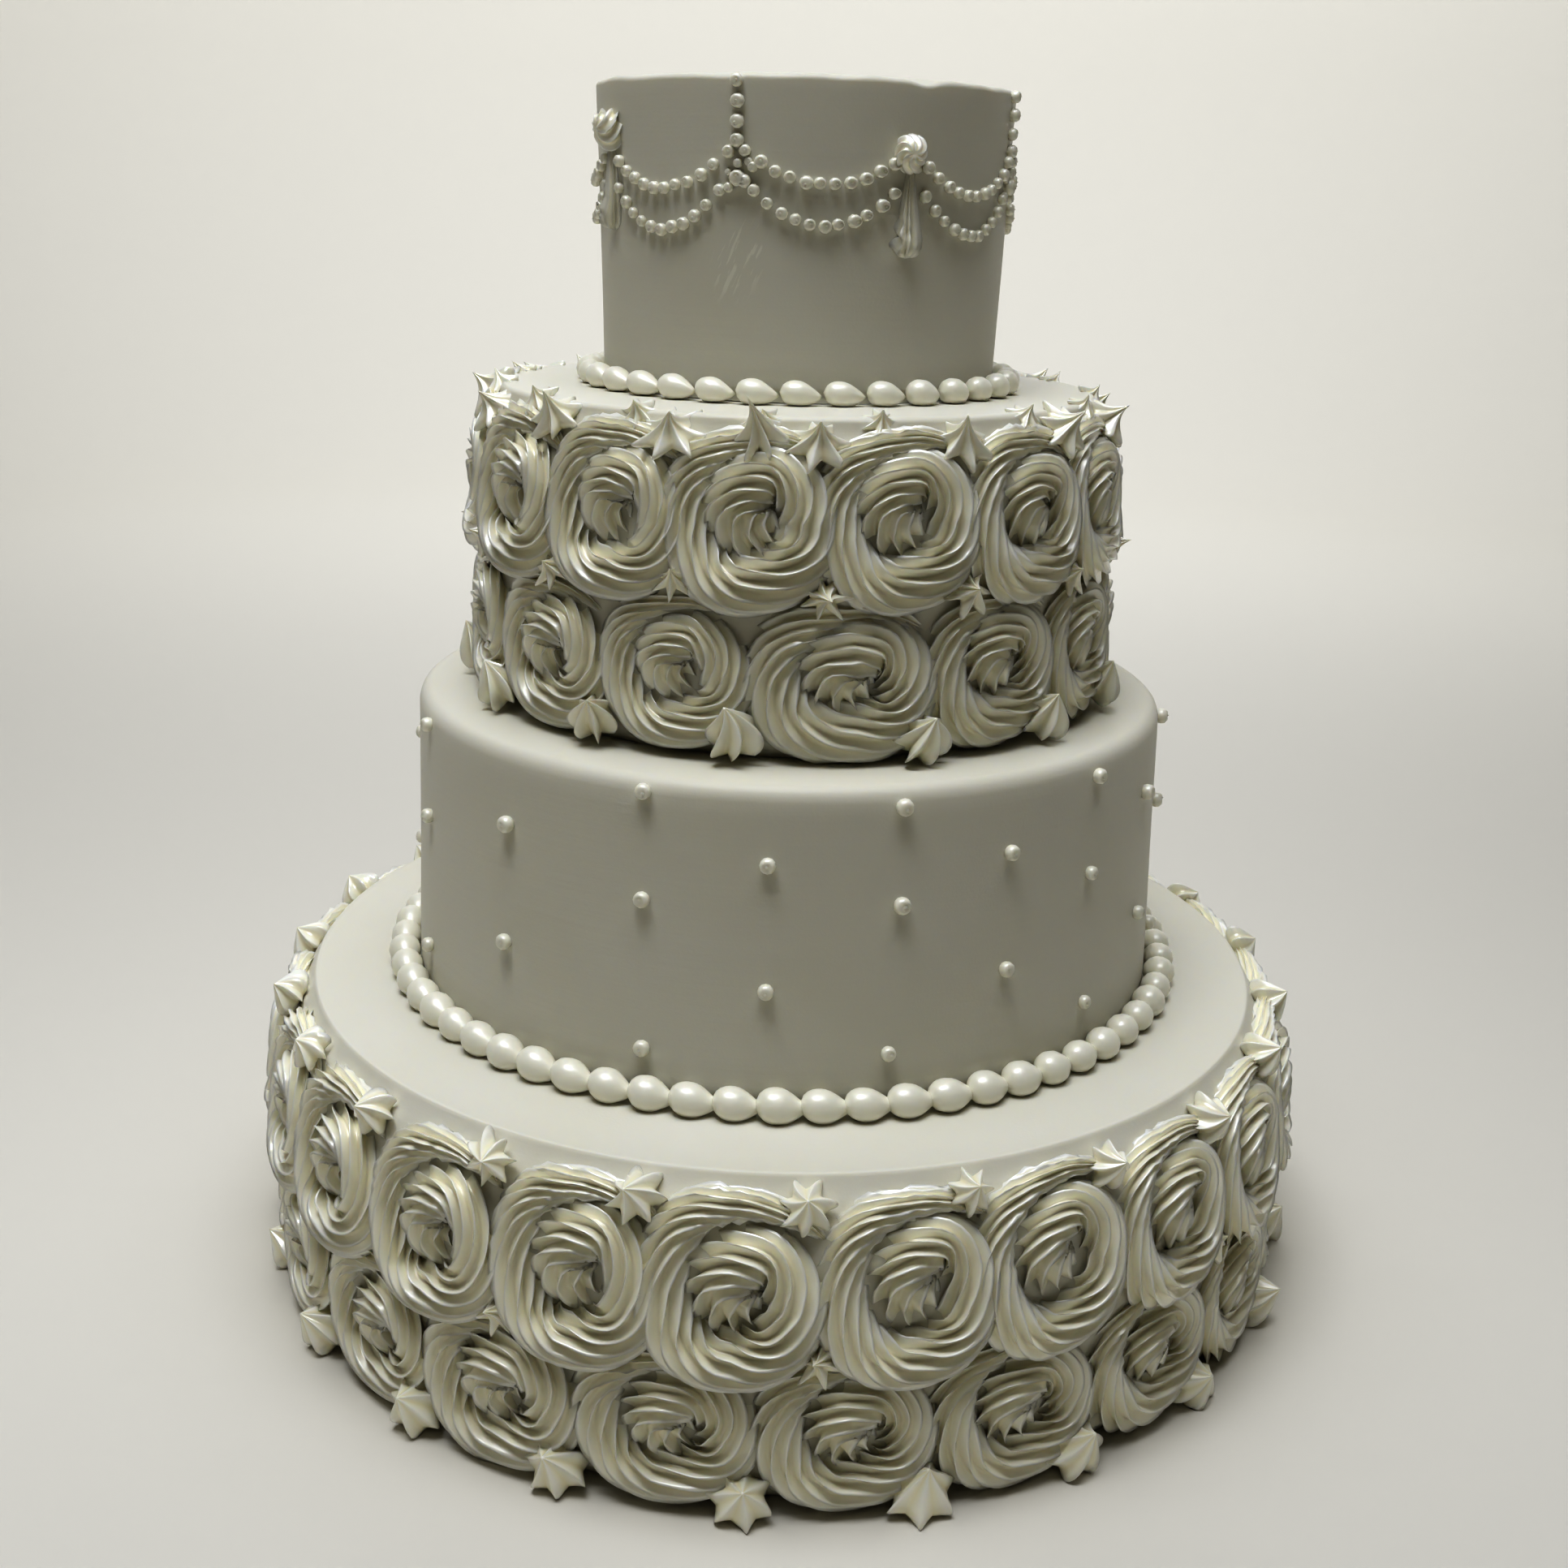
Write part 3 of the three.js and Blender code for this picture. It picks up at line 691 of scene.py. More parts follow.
def wind_rosette(bm, row, spot, piping):
    """One rosette of a row, a little larger, higher or more turned than the others."""
    seed = row.seed + 7 * spot
    size = 1 + ROSETTE_STRAY["size"] * uneven(seed + 31)
    height = row.height + ROSETTE_STRAY["up"] * uneven(seed + 32)
    outline = nozzle_outline(piping.teeth, piping.groove_depth, ROPE_CORNERS)
    sides = [side * size for side in row.half_widths(spot)]
    wind_rope(
        bm, row.tier.side(row.angles[spot], height), outline, piping.steps, sides, row.half_height * size,
        row.rope, row.lift, ROPE_FLOOR - height, seed)


def rosette_row(row, level):
    """A row of rosettes, in two halves so that neither is too heavy."""
    node = row.tier.node + "_rosettes"
    count = len(row.angles)
    for half, spots in enumerate((range(count // 2), range(count // 2, count)), start=1):
        bm = bmesh.new()
        for spot in spots:
            one = bmesh.new()
            wind_rosette(one, row, spot, bpy.context.scene.cake.piping)
            join(bm, one)
        finish_piece(bm, f"{node}_{level}_{half}", piped_buttercream(), node)


# A star from the back of its foot to its tip: share of the way, of its height and of its radius.
DRAWN_STAR = (  # pulled away into a tall tip
    (0.0, -0.25, 0.0),
    (0.1, -0.22, 0.7),
    (0.2, -0.1, 0.98),
    (0.3, 0.04, 1.0),
    (0.42, 0.17, 0.78),
    (0.55, 0.32, 0.5),
    (0.7, 0.52, 0.27),
    (0.86, 0.79, 0.1),
    (1.0, 1.06, 0.0),
)
PLUMP_STAR = (  # pressed on, with blunt arms
    (0.0, -0.3, 0.0),
    (0.1, -0.26, 0.72),
    (0.2, -0.1, 0.96),
    (0.32, 0.12, 1.02),
    (0.45, 0.36, 0.9),
    (0.6, 0.6, 0.62),
    (0.76, 0.8, 0.33),
    (0.9, 0.94, 0.13),
    (1.0, 1.04, 0.0),
)
STAR_ROWS = 15

# How much a star may differ from the others, to either side. The angles of its tip are in degrees,
# its twist is a share of the whole twist, its leans are shares of its height, the others of its size.
STAR_STRAY = {
    "size": 0.1, "height": 0.15, "twist": 1.2, "lean_across": 0.24, "lean_up": 0.2, "tip_up": 11,
    "tip_aside": 14, "arm": 0.16, "droop": 0.1,
}
VALLEY_FILL = 0.25  # how much shallower the valleys between a star's arms are at its tip
STAR_BLUNTNESS = 1.1


def pipe_star(bm, place, tilt, profile, radius, height, depth, floor, seed, teeth=0, turned=0.0):
    """One star: arms that run up into a tip, which was pulled away and bends a little."""
    piping = bpy.context.scene.cake.piping
    stray = STAR_STRAY
    outline = nozzle_outline(
        teeth or piping.star_teeth, piping.star_depth * depth, STAR_CORNERS, bluntness=STAR_BLUNTNESS)
    size = radius * (1 + stray["size"] * uneven(seed))
    tall = height * (1 + stray["height"] * uneven(seed + 1))
    first = TURN * uneven(seed + 2)
    twist = piping.star_twist * (1 + stray["twist"] * uneven(seed + 3)) + math.radians(turned)
    lean_x = stray["lean_across"] * uneven(seed + 4)
    lean_y = stray["lean_up"] * uneven(seed + 5)
    tip_up = math.radians(tilt + stray["tip_up"] * uneven(seed + 6))
    tip_aside = math.radians(stray["tip_aside"] * uneven(seed + 7))

    def corner(row, column):
        rise, girth = through(profile, row / STAR_ROWS)
        turn, reach, groove = outline[column]
        arm = column // len(STAR_CORNERS)
        turn += first + twist * rise
        arm_reach = 1 + stray["arm"] * uneven(seed + 10 + arm)
        spread = size * girth * (1 - (1 - reach) * (1 - VALLEY_FILL * rise)) * arm_reach
        droop = stray["droop"] * size * uneven(seed + 20 + arm) * girth * (1 - groove)
        away = rise * tall + droop
        x = spread * math.cos(turn) + lean_x * tall * rise**2 + away * math.sin(tip_aside)
        y = spread * math.sin(turn) + lean_y * tall * rise**2
        up = y * math.cos(tip_up) + away * math.sin(tip_up)
        out = away * math.cos(tip_up) - y * math.sin(tip_up)
        return place(x, max(up, floor), out), groove

    loft(bm, STAR_ROWS, len(outline), corner)


RIM_STAR = {"profile": PLUMP_STAR, "radius": 9.5, "height": 10, "depth": 0.7}
DRAWN_RIM_STAR = {"profile": DRAWN_STAR, "radius": 12, "height": 11.5, "depth": 0.78}
BASE_STAR = {"profile": PLUMP_STAR, "radius": 12.5, "height": 15, "depth": 0.5}
DRAWN_BASE_STAR = {"profile": PLUMP_STAR, "radius": 9.5, "height": 14, "depth": 0.85}
MIDDLE_STAR = {"profile": DRAWN_STAR, "radius": 9.5, "height": 8, "depth": 0.9}
CREST_STAR = {"profile": DRAWN_STAR, "radius": 7.5, "height": 7, "depth": 0.9}
TALL_STAR = {"profile": DRAWN_STAR, "radius": 11, "height": 18, "depth": 1.0}

# Where the feet of the stars are: how far up from their level, how much that varies, and how far
# out from the tier's side. The level is the tier's top, its base or the middle of its upper row.
RIM_FOOT = {"up": -8, "stray": 2, "out": 4}
BASE_FOOT = {"up": 8, "stray": 1, "out": 10}
MIDDLE_FOOT = {"up": -23, "stray": 3, "out": 10}
CREST_FOOT = {"up": -2, "stray": 0, "out": -1}
TALL_FOOT = {"up": -7, "stray": 0, "out": 4}
# How far the tips of the last three point up, in degrees.
MIDDLE_TILT = 18
CREST_TILT = 52
TALL_TILT = 55
STAR_OFFSET = -1.5  # degrees that the stars sit to the left of their gaps
CREST_STRAY = 4  # degrees that a star strays from the crest of its rosette
TALL_STAR_ANGLE = -5.8  # one tall star more, on the crest of a rosette of the third tier
TALL_STAR_SEED = 800
STAR_FLOOR = 0.3  # the lowest that a star goes, above its tier's base


def rosette_stars(
        upper, lower, rim_star, rim_tilt, base_star, base_tilt, middle_every, crests=(), tall_stars=()):
    """All the stars of a tier: along its rim, at its foot, and some between the two rows."""
    tier = upper.tier
    bm = bmesh.new()

    def add(shape, angle, level, foot, tilt, seed, draw=0.0):
        height = level + foot["up"] + foot["stray"] * draw
        spot = tier.side(angle, height)
        one = bmesh.new()
        pipe_star(
            one, lambda across, up, away: spot(across, up, away + foot["out"]), tilt=tilt,
            floor=STAR_FLOOR - height, seed=seed, **shape)
        join(bm, one)

    for place, gap in enumerate(upper.gaps()):
        seed = upper.seed + 50 + place
        add(rim_star, gap + STAR_OFFSET, tier.height, RIM_FOOT, rim_tilt, seed, uneven(seed + 9))
        if place % middle_every == 0:
            add(MIDDLE_STAR, gap, upper.height, MIDDLE_FOOT, MIDDLE_TILT, seed + 400, uneven(seed + 8))
    for place, gap in enumerate(lower.gaps()):
        seed = lower.seed + 50 + place
        add(base_star, gap + STAR_OFFSET, 0, BASE_FOOT, base_tilt, seed, uneven(seed + 9))
    for place, angle in enumerate(crests):
        seed = upper.seed + 90 + place
        aside = CREST_STRAY * uneven(seed + 9)
        add(CREST_STAR, angle + aside, tier.height, CREST_FOOT, CREST_TILT, seed)
    for angle in tall_stars:
        add(TALL_STAR, angle, tier.height, TALL_FOOT, TALL_TILT, TALL_STAR_SEED)
    name = tier.node + "_stars"
    return finish_piece(bm, name, piped_buttercream(), tier.node + "_rosettes")


# ---------------------------------------------------------------------------------------------
# Bead borders
# ---------------------------------------------------------------------------------------------

# A bead from its round end to its tail: share of its length and of its radius.
BEAD_PROFILE = (
    (0.0, 0.0),
    (0.07, 0.52),
    (0.2, 0.86),
    (0.38, 1.0),
    (0.56, 0.93),
    (0.76, 0.6),
    (0.92, 0.24),
    (1.0, 0.0),
)
BEAD_ROWS = 12
BEAD_COLUMNS = 14
# How a bead lies: how high its middle is as a share of its height, how much of that it sinks to its
# tail, the share of its length that lies before its own angle, and the millimetres its tail goes in.
BEAD_LIE = {"middle": 0.46, "sink": 0.35, "before": 0.42, "tail_in": 0.8}
BEAD_STRAY = {"size": 0.06, "length": 0.05}


def pipe_bead(bm, reach, angle, level, width, height, length, seed):
    """One bead, which lies along the foot of a tier with its tail under the next one."""
    size = 1 + BEAD_STRAY["size"] * uneven(seed)
    long = length * (1 + BEAD_STRAY["length"] * uneven(seed + 1))

    def corner(row, column):
        way = row / BEAD_ROWS
        (girth,) = through(BEAD_PROFILE, way)
        girth = max(girth, 0) * size
        turn = TURN * column / BEAD_COLUMNS
        out = 0.5 * width * girth * math.cos(turn)
        up = 0.5 * height * girth * math.sin(turn)
        up += BEAD_LIE["middle"] * height * (1 - BEAD_LIE["sink"] * way)
        around = math.radians(angle) + (way - BEAD_LIE["before"]) * long / reach
        radius = (reach + out - BEAD_LIE["tail_in"] * way) * MM
        top = (level + max(up, 0)) * MM
        return Vector((radius * math.sin(around), -radius * math.cos(around), top)), 0.0

    loft(bm, BEAD_ROWS, BEAD_COLUMNS, corner)


def bead_border(tier, count, reach, width, height, overlap, seed):
    """A ring of touching beads, its middle so far from the tier's, that hides the joint at its foot."""
    bm = bmesh.new()
    spacing = TURN * reach / count
    for bead in range(count):
        one = bmesh.new()
        angle = 360 * bead / count
        pipe_bead(one, reach, angle, tier.base, width, height, spacing * overlap, seed + 3 * bead)
        join(bm, one)
    name = tier.node + "_beads"
    return finish_piece(bm, name, pearl_buttercream(), tier.node + "_bead_border")


# ---------------------------------------------------------------------------------------------
# Pearls
# ---------------------------------------------------------------------------------------------

# A pearl from its foot to the nipple that the nozzle leaves: share of its rise and of its radius.
PEARL_PROFILE = (
    (-0.15, 0.75), (0.25, 1.0), (0.62, 0.93), (0.86, 0.6), (0.78, 0.3), (0.8, 0.17), (1.02, 0.0),
)
PEARL_RISE = 1.5  # rise of a pearl in radii
NIPPLE_STRAY = {"across": 0.3, "up": 0.25}  # in radii
NIPPLE_ROWS = 2  # rows below a pearl's tip that lean as far as the tip
BEND_START = 0.6  # share of its rise above which a pearl bends with its nipple
TAIL_PULL = 0.6  # how far a dragged pearl's side is pulled along with its tail
TAIL_SINK = 0.3  # and how much lower its tail is
PEARL_STRAY = 0.09
DOT_SIDES = 12
DOT_STRAY = {"degrees": 0.8, "up": 1.8}
DOT_COLUMNS = {"count": 20, "first": -18.6, "step": 16.7, "wide_steps": 4, "wide_step": 23.2}
THREE_DOT_HEIGHTS = (22, 79, 118)
TWO_DOT_HEIGHTS = (48, 96)


def pipe_pearl(bm, place, radius, seed, sides=10, tail=0.0):
    """One round pearl with a small nipple, or with a tail to its right where the nozzle dragged it."""
    size = radius / MM * (1 + PEARL_STRAY * uneven(seed))
    tip_x = size * (NIPPLE_STRAY["across"] * uneven(seed + 1) + tail)
    tip_y = NIPPLE_STRAY["up"] * size * uneven(seed + 2)
    rows = len(PEARL_PROFILE)

    def corner(row, column):
        rise, girth = PEARL_PROFILE[row - 1] if row else (PEARL_PROFILE[0][0], 0.0)
        turn = TURN * column / sides
        bend = 1.0 if row >= rows - NIPPLE_ROWS else max(0.0, rise - BEND_START)
        x = size * girth * math.cos(turn)
        x += tip_x * bend + max(0.0, x) * tail * TAIL_PULL
        y = size * girth * math.sin(turn) + tip_y * bend
        return place(x, y, rise * PEARL_RISE * size * (1 - TAIL_SINK * tail * bend)), 0.0

    loft(bm, rows, sides, corner)


def dotted_pearls(tier, radius):
    """Single pearls in columns of three and of two by turns, all round the tier."""
    bm = bmesh.new()
    count = DOT_COLUMNS["count"]
    for column in range(count):
        wide_before = max(0, column - (count - DOT_COLUMNS["wide_steps"]))
        angle = DOT_COLUMNS["first"] + DOT_COLUMNS["step"] * (column - wide_before)
        angle += DOT_COLUMNS["wide_step"] * wide_before
        heights = TWO_DOT_HEIGHTS if column % 2 else THREE_DOT_HEIGHTS
        for spot, height in enumerate(heights):
            seed = 600 + 5 * column + spot
            turn = angle + DOT_STRAY["degrees"] * uneven(seed)
            level = height + DOT_STRAY["up"] * uneven(seed + 200)
            pipe_pearl(bm, tier.side(turn, level), radius, seed, sides=DOT_SIDES)
    return finish_piece(bm, tier.node + "_pearls", pearl_buttercream(), tier.node)


ROSEBUD_ANGLES = (28, 118, 208, 298)
SWAG_SPAN = 45
UPPER_SWAG = {"pearls": 11, "end_height": 90.5, "sag": 13, "start": 0.11, "end": 0.95}
LOWER_SWAG = {"pearls": 11, "end_height": 82, "sag": 19, "start": 0.1, "end": 0.9}
LEFT_SAG = 2.5  # how much lower a swag hangs on the left of a string than on its right
GARLAND_SEED = 1000
GARLAND_STRAY = {"degrees": 0.3, "up": 0.4}
# The pearls on the right of a string are dragged into tails, which grow towards the rosebud.
DRAG = {"start": 0.3, "length": 1.1}
STRING = {"pearls": 4, "top": 111.3, "spacing": 6.5}
CLUSTER_HEIGHT = 78.5
CLUSTER_OFFSET = 1  # degrees that a cluster hangs to the right of its string
# The pearls of a cluster: millimetres across and up from its middle, and size.
CLUSTER = (
    (-0.8, 0.2, 1.0), (1.9, -0.4, 0.85), (-0.6, 5.2, 0.62), (-4.3, 2.6, 0.45), (-4.6, -2.8, 0.58),
    (4.8, 4.4, 0.66), (2.6, 5.9, 0.5),
)


def swag_spots(left_angle, swag, mirrored):
    """The (angle, height) of each pearl in half a garland."""
    for place in range(swag["pearls"]):
        along = swag["start"] + (swag["end"] - swag["start"]) * place / (swag["pearls"] - 1)
        if mirrored:
            along = 1 - along
        sag = swag["sag"] + (0.0 if mirrored else LEFT_SAG)
        yield left_angle + SWAG_SPAN * along, swag["end_height"] - sag * (1 - (2 * along - 1) ** 2)


def garland_pearls(tier, pearls):
    """Two swags of pearls from rosebud to rosebud, caught up half-way by a string and a cluster."""
    bm = bmesh.new()
    seed = GARLAND_SEED

    def add(angle, height, radius, tail=0.0):
        nonlocal seed
        seed += 3
        angle += GARLAND_STRAY["degrees"] * uneven(seed)
        height += GARLAND_STRAY["up"] * uneven(seed + 1)
        pipe_pearl(bm, tier.side(angle, height), radius, seed, tail=tail)

    for bud in ROSEBUD_ANGLES:
        string = bud + SWAG_SPAN
        for swag in (UPPER_SWAG, LOWER_SWAG):
            for angle, height in swag_spots(bud, swag, mirrored=False):
                add(angle, height, pearls.swag_radius)
            for angle, height in swag_spots(string, swag, mirrored=True):
                towards_bud = max(0.0, (angle - string) / SWAG_SPAN - DRAG["start"])
                add(angle, height, pearls.swag_radius, tail=DRAG["length"] * towards_bud)
        for place in range(STRING["pearls"]):
            add(string, STRING["top"] - STRING["spacing"] * place, pearls.string_radius)
        for across, up, size in CLUSTER:
            turned = math.degrees(across / tier.radius(CLUSTER_HEIGHT))
            add(string + CLUSTER_OFFSET + turned, CLUSTER_HEIGHT + up, pearls.cluster_radius * size)
    return finish_piece(bm, tier.node + "_pearls", pearl_buttercream(), tier.node)


# ---------------------------------------------------------------------------------------------
# Rosebuds and tassels
# ---------------------------------------------------------------------------------------------

BUD_PROFILE = (  # as the profiles of the stars
    (0.0, -0.3, 0.0),
    (0.1, -0.25, 0.8),
    (0.25, 0.0, 1.0),
    (0.42, 0.34, 1.02),
    (0.6, 0.66, 0.84),
    (0.76, 0.88, 0.54),
    (0.9, 0.94, 0.24),
    (1.0, 0.9, 0.0),
)
ROSEBUD = {"profile": BUD_PROFILE, "radius": 7.4, "height": 6.8, "depth": 0.5, "teeth": 9, "turned": -95}
ROSEBUD_HEIGHT = 88.8
ROSEBUD_FLOOR = -20  # lower than any part of a bud, so that none of it is cut off level
LAST_BUD_RISE = 6.5  # millimetres that the last bud and tassel were piped higher than the others


def wind_rosebud(bm, tier, angle, raised, seed):
    """A small bud: a blunt star whose ridges were turned a quarter round on the way to its tip."""
    place = tier.side(angle, ROSEBUD_HEIGHT + raised)
    pipe_star(bm, place, tilt=0, floor=ROSEBUD_FLOOR, seed=seed, **ROSEBUD)


# A tassel from its top to its foot: share of its length, half its width, how far it stands out.
TASSEL_PROFILE = (
    (0.0, 0.4, 0.6),
    (0.05, 1.7, 2.2),
    (0.3, 2.9, 3.2),
    (0.6, 4.7, 4.4),
    (0.84, 5.6, 5.8),
    (0.95, 4.6, 4.2),
    (0.99, 2.4, 2.2),
    (1.0, 0.8, 0.8),
)
TASSEL = {"top": 83, "length": 30.5, "strands": 10, "depth": 0.68, "rows": 30, "back": -0.8}
# Its strands bunch below a share of its length, most at the lower left, into bubbles of this size.
BUNCH = {"start": 0.35, "aside": 0.35, "size": 1.1, "per_length": 15, "per_strand": 1.3, "in_grooves": 0.5}
RAGGED_FOOT = {"start": 0.8, "size": 0.6}  # the strands end a little above and below each other
SWAY = {"size": 0.6, "per_length": 5}  # millimetres that the tassel strays from the plumb line


def pipe_tassel(bm, tier, angle, raised, seed):
    """One tassel: a ridged drop that was drawn down the side and bunches at its lower left."""
    place = tier.side(angle, TASSEL["top"] + raised)
    outline = nozzle_outline(TASSEL["strands"], TASSEL["depth"], STRAND_CORNERS)
    rows = TASSEL["rows"]

    def corner(row, column):
        way = row / rows
        half_width, depth = through(TASSEL_PROFILE, way)
        turn, reach, groove = outline[column]
        strand = column // len(STRAND_CORNERS)
        bunched = max(0.0, way - BUNCH["start"]) * max(0.0, BUNCH["aside"] - math.cos(turn))
        beat = abs(math.sin(BUNCH["per_length"] * way + BUNCH["per_strand"] * strand + seed)) - 0.5
        bubble = BUNCH["size"] * bunched * beat * (1 - BUNCH["in_grooves"] * groove)
        low = max(0.0, way - RAGGED_FOOT["start"]) / (1 - RAGGED_FOOT["start"])
        ragged = RAGGED_FOOT["size"] * uneven(seed + strand) * low
        sway = SWAY["size"] * math.sin(SWAY["per_length"] * way + seed)
        x = half_width * (reach + bubble) * math.cos(turn) + sway * way
        out = max(depth * (reach + bubble) * math.sin(turn), TASSEL["back"])
        gathered = 0 if row in (0, rows) else 1
        up = -way * TASSEL["length"] - ragged * gathered
        return place(x * gathered, up, out * gathered), groove

    loft(bm, rows, len(outline), corner)


def rosebuds_and_tassels(tier):
    """A rosebud and a tassel, each a piece of its own, at each end of the garlands."""
    for number, angle in enumerate(ROSEBUD_ANGLES, start=1):
        raised = LAST_BUD_RISE if number == len(ROSEBUD_ANGLES) else 0.0
        node = f"{tier.node}_rosebud_{number}"
        bm = bmesh.new()
        wind_rosebud(bm, tier, angle, raised, 1500 + 11 * number)
        finish_piece(bm, node + "_piped", piped_buttercream(), node)
        node = f"{tier.node}_tassel_{number}"
        bm = bmesh.new()
        pipe_tassel(bm, tier, angle, raised, 1600 + 13 * number)
        finish_piece(bm, node + "_piped", pearl_buttercream(), node)


# ---------------------------------------------------------------------------------------------
# Stage
# ---------------------------------------------------------------------------------------------

# The camera stands in front of the cake, a little above it, and looks down at it. Its focal length
# and picture are in pixels, its sensor and its place in millimetres, and its turns in radians.
CAMERA = {
    "focal_px": 2200, "image_px": 1932, "sensor": 36, "back": 754.85, "above_tier_1": 320.85,
    "yaw": -0.0016, "pitch": -0.3148, "roll": 0.0277,
}

# The soft boxes: their spot and what they face, their size, all in metres, and how many degrees
# their light spreads. The two above the cake spread little, so its walls stay darker than its tops.
SOFTBOXES = {
    "overhead": {
        "place": (-0.12, -0.35, 2.0), "target": (-0.12, -0.35, 0), "size": (1.8, 1.0), "spread": 90,
    },
    "gleam": {
        "place": (-0.3, -0.55, 2.0), "target": (-0.05, -0.1, 0.2), "size": (0.7, 0.5), "spread": 90,
    },
    "wash": {"place": (0, 1.3, 2.0), "target": (0, 2.8, 0.5), "size": (2.6, 0.5), "spread": 180},
}
SOFTBOX_LIGHT = "#f5f8ff"  # daylight, a little cool
SKY_LIGHT = "#fff6e8"  # a little warm, as thrown back by the walls of a room

# The backdrop in metres: radius of its flat floor, radius of the bend and height of the wall.
BACKDROP = {"flat": 2.2, "bend": 0.8, "wall": 1.3, "bend_rows": 12, "steps": 96}


def set_camera():
    data = bpy.data.cameras.new("camera")
    data.sensor_width = CAMERA["sensor"]
    data.lens = CAMERA["focal_px"] / CAMERA["image_px"] * CAMERA["sensor"]
    camera = add_object("camera", data)
    yaw, pitch, roll = CAMERA["yaw"], CAMERA["pitch"], CAMERA["roll"]
    forward = Vector((math.sin(yaw) * math.cos(pitch), math.cos(yaw) * math.cos(pitch), math.sin(pitch)))
    level = Vector((math.cos(yaw), -math.sin(yaw), 0))
    upright = level.cross(forward)
    right = math.cos(roll) * level + math.sin(roll) * upright
    top = math.cos(roll) * upright - math.sin(roll) * level
    turned = Matrix((right, top, -forward)).transposed().to_4x4()
    height = TIER_1.base + TIER_1.height + CAMERA["above_tier_1"]
    turned.translation = Vector((0, -CAMERA["back"], height)) * MM
    camera.matrix_world = turned
    bpy.context.scene.camera = camera


def add_softbox(name, power, place, target, size, spread):
    data = bpy.data.lights.new(name, "AREA")
    data.color = linear(SOFTBOX_LIGHT)[:3]
    data.shape = "RECTANGLE"
    data.size, data.size_y = size
    data.energy = power
    data.spread = math.radians(spread)
    lamp = add_object(name, data)
    lamp.location = place
    lamp.rotation_euler = (Vector(target) - Vector(place)).to_track_quat("-Z", "Y").to_euler()


def add_backdrop():
    """A round floor that bends up into a wall all round, so that every view has a plain ground."""
    flat, bend = BACKDROP["flat"], BACKDROP["bend"]
    profile = [(0, 0), (flat, 0)]
    for row in range(1, BACKDROP["bend_rows"] + 1):
        turn = math.radians(90 * row / BACKDROP["bend_rows"])
        profile.append((flat + bend * math.sin(turn), bend * (1 - math.cos(turn))))
    profile.append((flat + bend, bend + BACKDROP["wall"]))
    bm = bmesh.new()
    turn_round(bm, profile, BACKDROP["steps"])
    add_mesh(bm, "backdrop", studio_floor())


# ---------------------------------------------------------------------------------------------
# Operators
# ---------------------------------------------------------------------------------------------


class CAKE_OT_ice_tiers(bpy.types.Operator):
    """Ice the four tiers"""

    bl_idname = "cake.ice_tiers"
    bl_label = "Ice tiers"

    def execute(self, context):
        for tier in (TIER_1, TIER_2, TIER_3, TIER_4):
            ice_tier(tier)
        return {"FINISHED"}


class CAKE_OT_wind_rosettes(bpy.types.Operator):
    """Wind the four rows of rosettes"""

    bl_idname = "cake.wind_rosettes"
    bl_label = "Wind rosettes"

    def execute(self, context):
        for upper, lower in ((TIER_1_UPPER, TIER_1_LOWER), (TIER_3_UPPER, TIER_3_LOWER)):
            rosette_row(upper, "upper")
            rosette_row(lower, "lower")
        return {"FINISHED"}


class CAKE_OT_pipe_stars(bpy.types.Operator):
    """Pipe stars into the gaps between the rosettes"""

    bl_idname = "cake.pipe_stars"
    bl_label = "Pipe stars"

    def execute(self, context):
        rosette_stars(
            TIER_1_UPPER, TIER_1_LOWER, RIM_STAR, rim_tilt=32, base_star=BASE_STAR, base_tilt=45,
            middle_every=3)
        rosette_stars(
            TIER_3_UPPER, TIER_3_LOWER, DRAWN_RIM_STAR, rim_tilt=42, base_star=DRAWN_BASE_STAR,
            base_tilt=60, middle_every=1, crests=TIER_3_UPPER.angles, tall_stars=(TALL_STAR_ANGLE,))
        return {"FINISHED"}


class CAKE_OT_pipe_borders(bpy.types.Operator):
    """Pipe the borders of beads at the feet of the smooth tiers"""

    bl_idname = "cake.pipe_borders"
    bl_label = "Pipe borders"

    def execute(self, context):
        bead_border(TIER_2, 65, reach=169.0, width=13.6, height=13.5, overlap=1.22, seed=700)
        bead_border(TIER_4, 33, reach=86.2, width=10.6, height=10.2, overlap=1.02, seed=900)
        return {"FINISHED"}


class CAKE_OT_dot_pearls(bpy.types.Operator):
    """Dot single pearls over the second tier"""

    bl_idname = "cake.dot_pearls"
    bl_label = "Dot pearls"

    def execute(self, context):
        dotted_pearls(TIER_2, context.scene.cake.pearls.dot_radius)
        return {"FINISHED"}


class CAKE_OT_hang_garlands(bpy.types.Operator):
    """Hang the pearl garlands on the top tier"""

    bl_idname = "cake.hang_garlands"
    bl_label = "Hang garlands"

    def execute(self, context):
        garland_pearls(TIER_4, context.scene.cake.pearls)
        return {"FINISHED"}


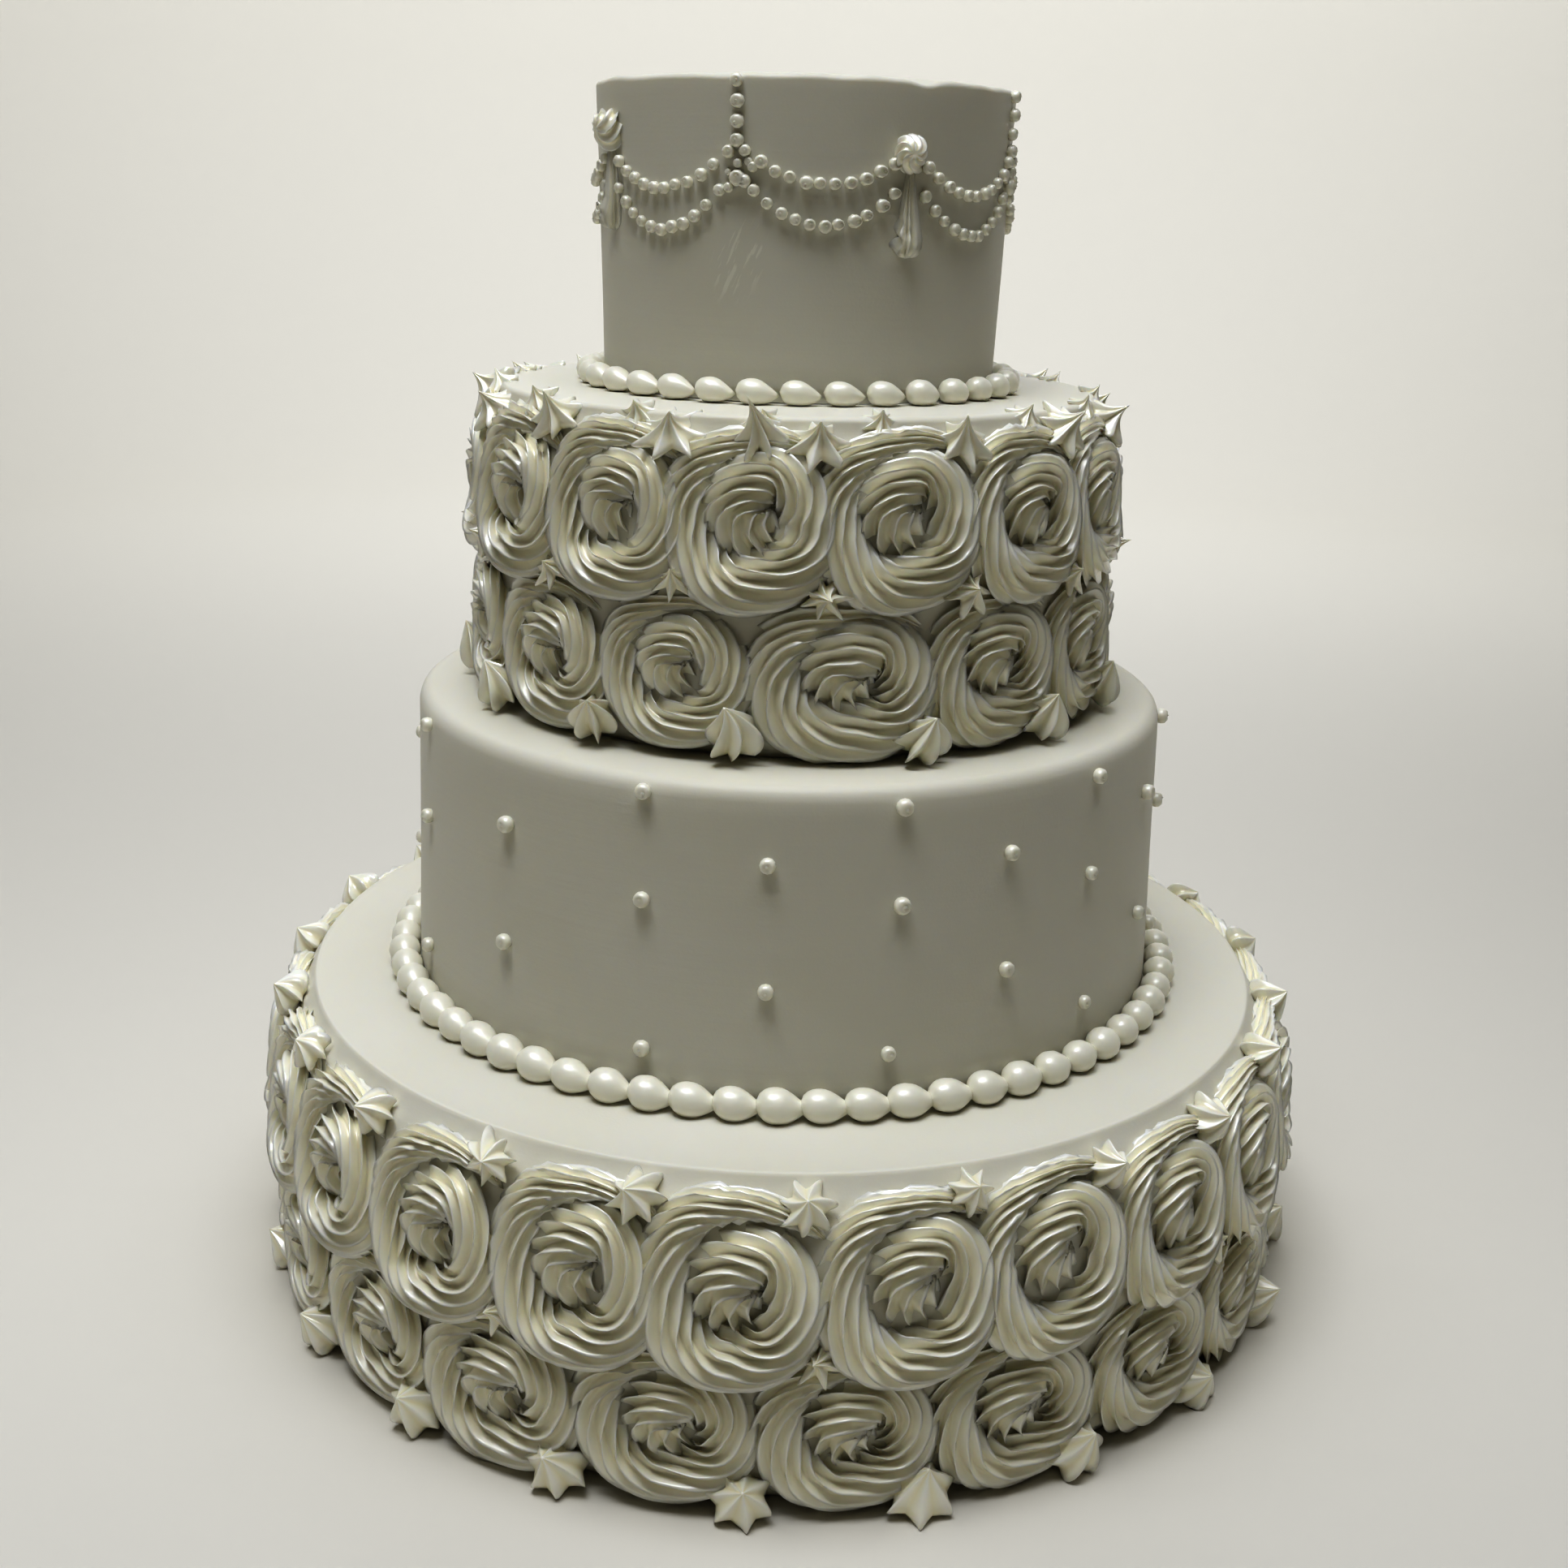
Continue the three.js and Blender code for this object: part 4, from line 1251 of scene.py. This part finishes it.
class CAKE_OT_pipe_rosebuds(bpy.types.Operator):
    """Pipe a rosebud with a tassel at each end of the garlands"""

    bl_idname = "cake.pipe_rosebuds"
    bl_label = "Pipe rosebuds and tassels"

    def execute(self, context):
        rosebuds_and_tassels(TIER_4)
        return {"FINISHED"}


class CAKE_OT_set_stage(bpy.types.Operator):
    """Set up the floor, the lights and the camera"""

    bl_idname = "cake.set_stage"
    bl_label = "Set stage"

    def execute(self, context):
        studio = context.scene.cake.studio
        add_backdrop()
        for name, box in SOFTBOXES.items():
            add_softbox(name, getattr(studio, name), **box)
        world = bpy.data.worlds.new("studio")
        world.use_nodes = True
        sky = world.node_tree.nodes["Background"]
        sky.inputs["Color"].default_value = linear(SKY_LIGHT)
        sky.inputs["Strength"].default_value = studio.sky
        context.scene.world = world
        context.scene.view_settings.view_transform = "Standard"
        context.scene.view_settings.look = "Very High Contrast"
        set_camera()
        return {"FINISHED"}


OPERATORS = (
    CAKE_OT_ice_tiers, CAKE_OT_wind_rosettes, CAKE_OT_pipe_stars, CAKE_OT_pipe_borders, CAKE_OT_dot_pearls,
    CAKE_OT_hang_garlands, CAKE_OT_pipe_rosebuds, CAKE_OT_set_stage,
)


class CAKE_PT_panel(bpy.types.Panel):
    """Lists the steps of dressing the cake"""

    bl_idname = "CAKE_PT_panel"
    bl_label = "Wedding cake"
    bl_space_type = "VIEW_3D"
    bl_region_type = "UI"
    bl_category = "Cake"

    def draw(self, context):
        for operator in OPERATORS:
            self.layout.operator(operator.bl_idname)


CLASSES = (CakePiping, CakePearls, CakeIcing, CakeStudio, CakeSettings) + OPERATORS + (CAKE_PT_panel,)


def register():
    for kind in CLASSES:
        bpy.utils.register_class(kind)
    bpy.types.Scene.cake = PointerProperty(type=CakeSettings)


def unregister():
    del bpy.types.Scene.cake
    for kind in reversed(CLASSES):
        bpy.utils.unregister_class(kind)


def main():
    register()
    bpy.ops.cake.ice_tiers()
    bpy.ops.cake.wind_rosettes()
    bpy.ops.cake.pipe_stars()
    bpy.ops.cake.pipe_borders()
    bpy.ops.cake.dot_pearls()
    bpy.ops.cake.hang_garlands()
    bpy.ops.cake.pipe_rosebuds()
    bpy.ops.cake.set_stage()


if __name__ == "__main__":
    main()
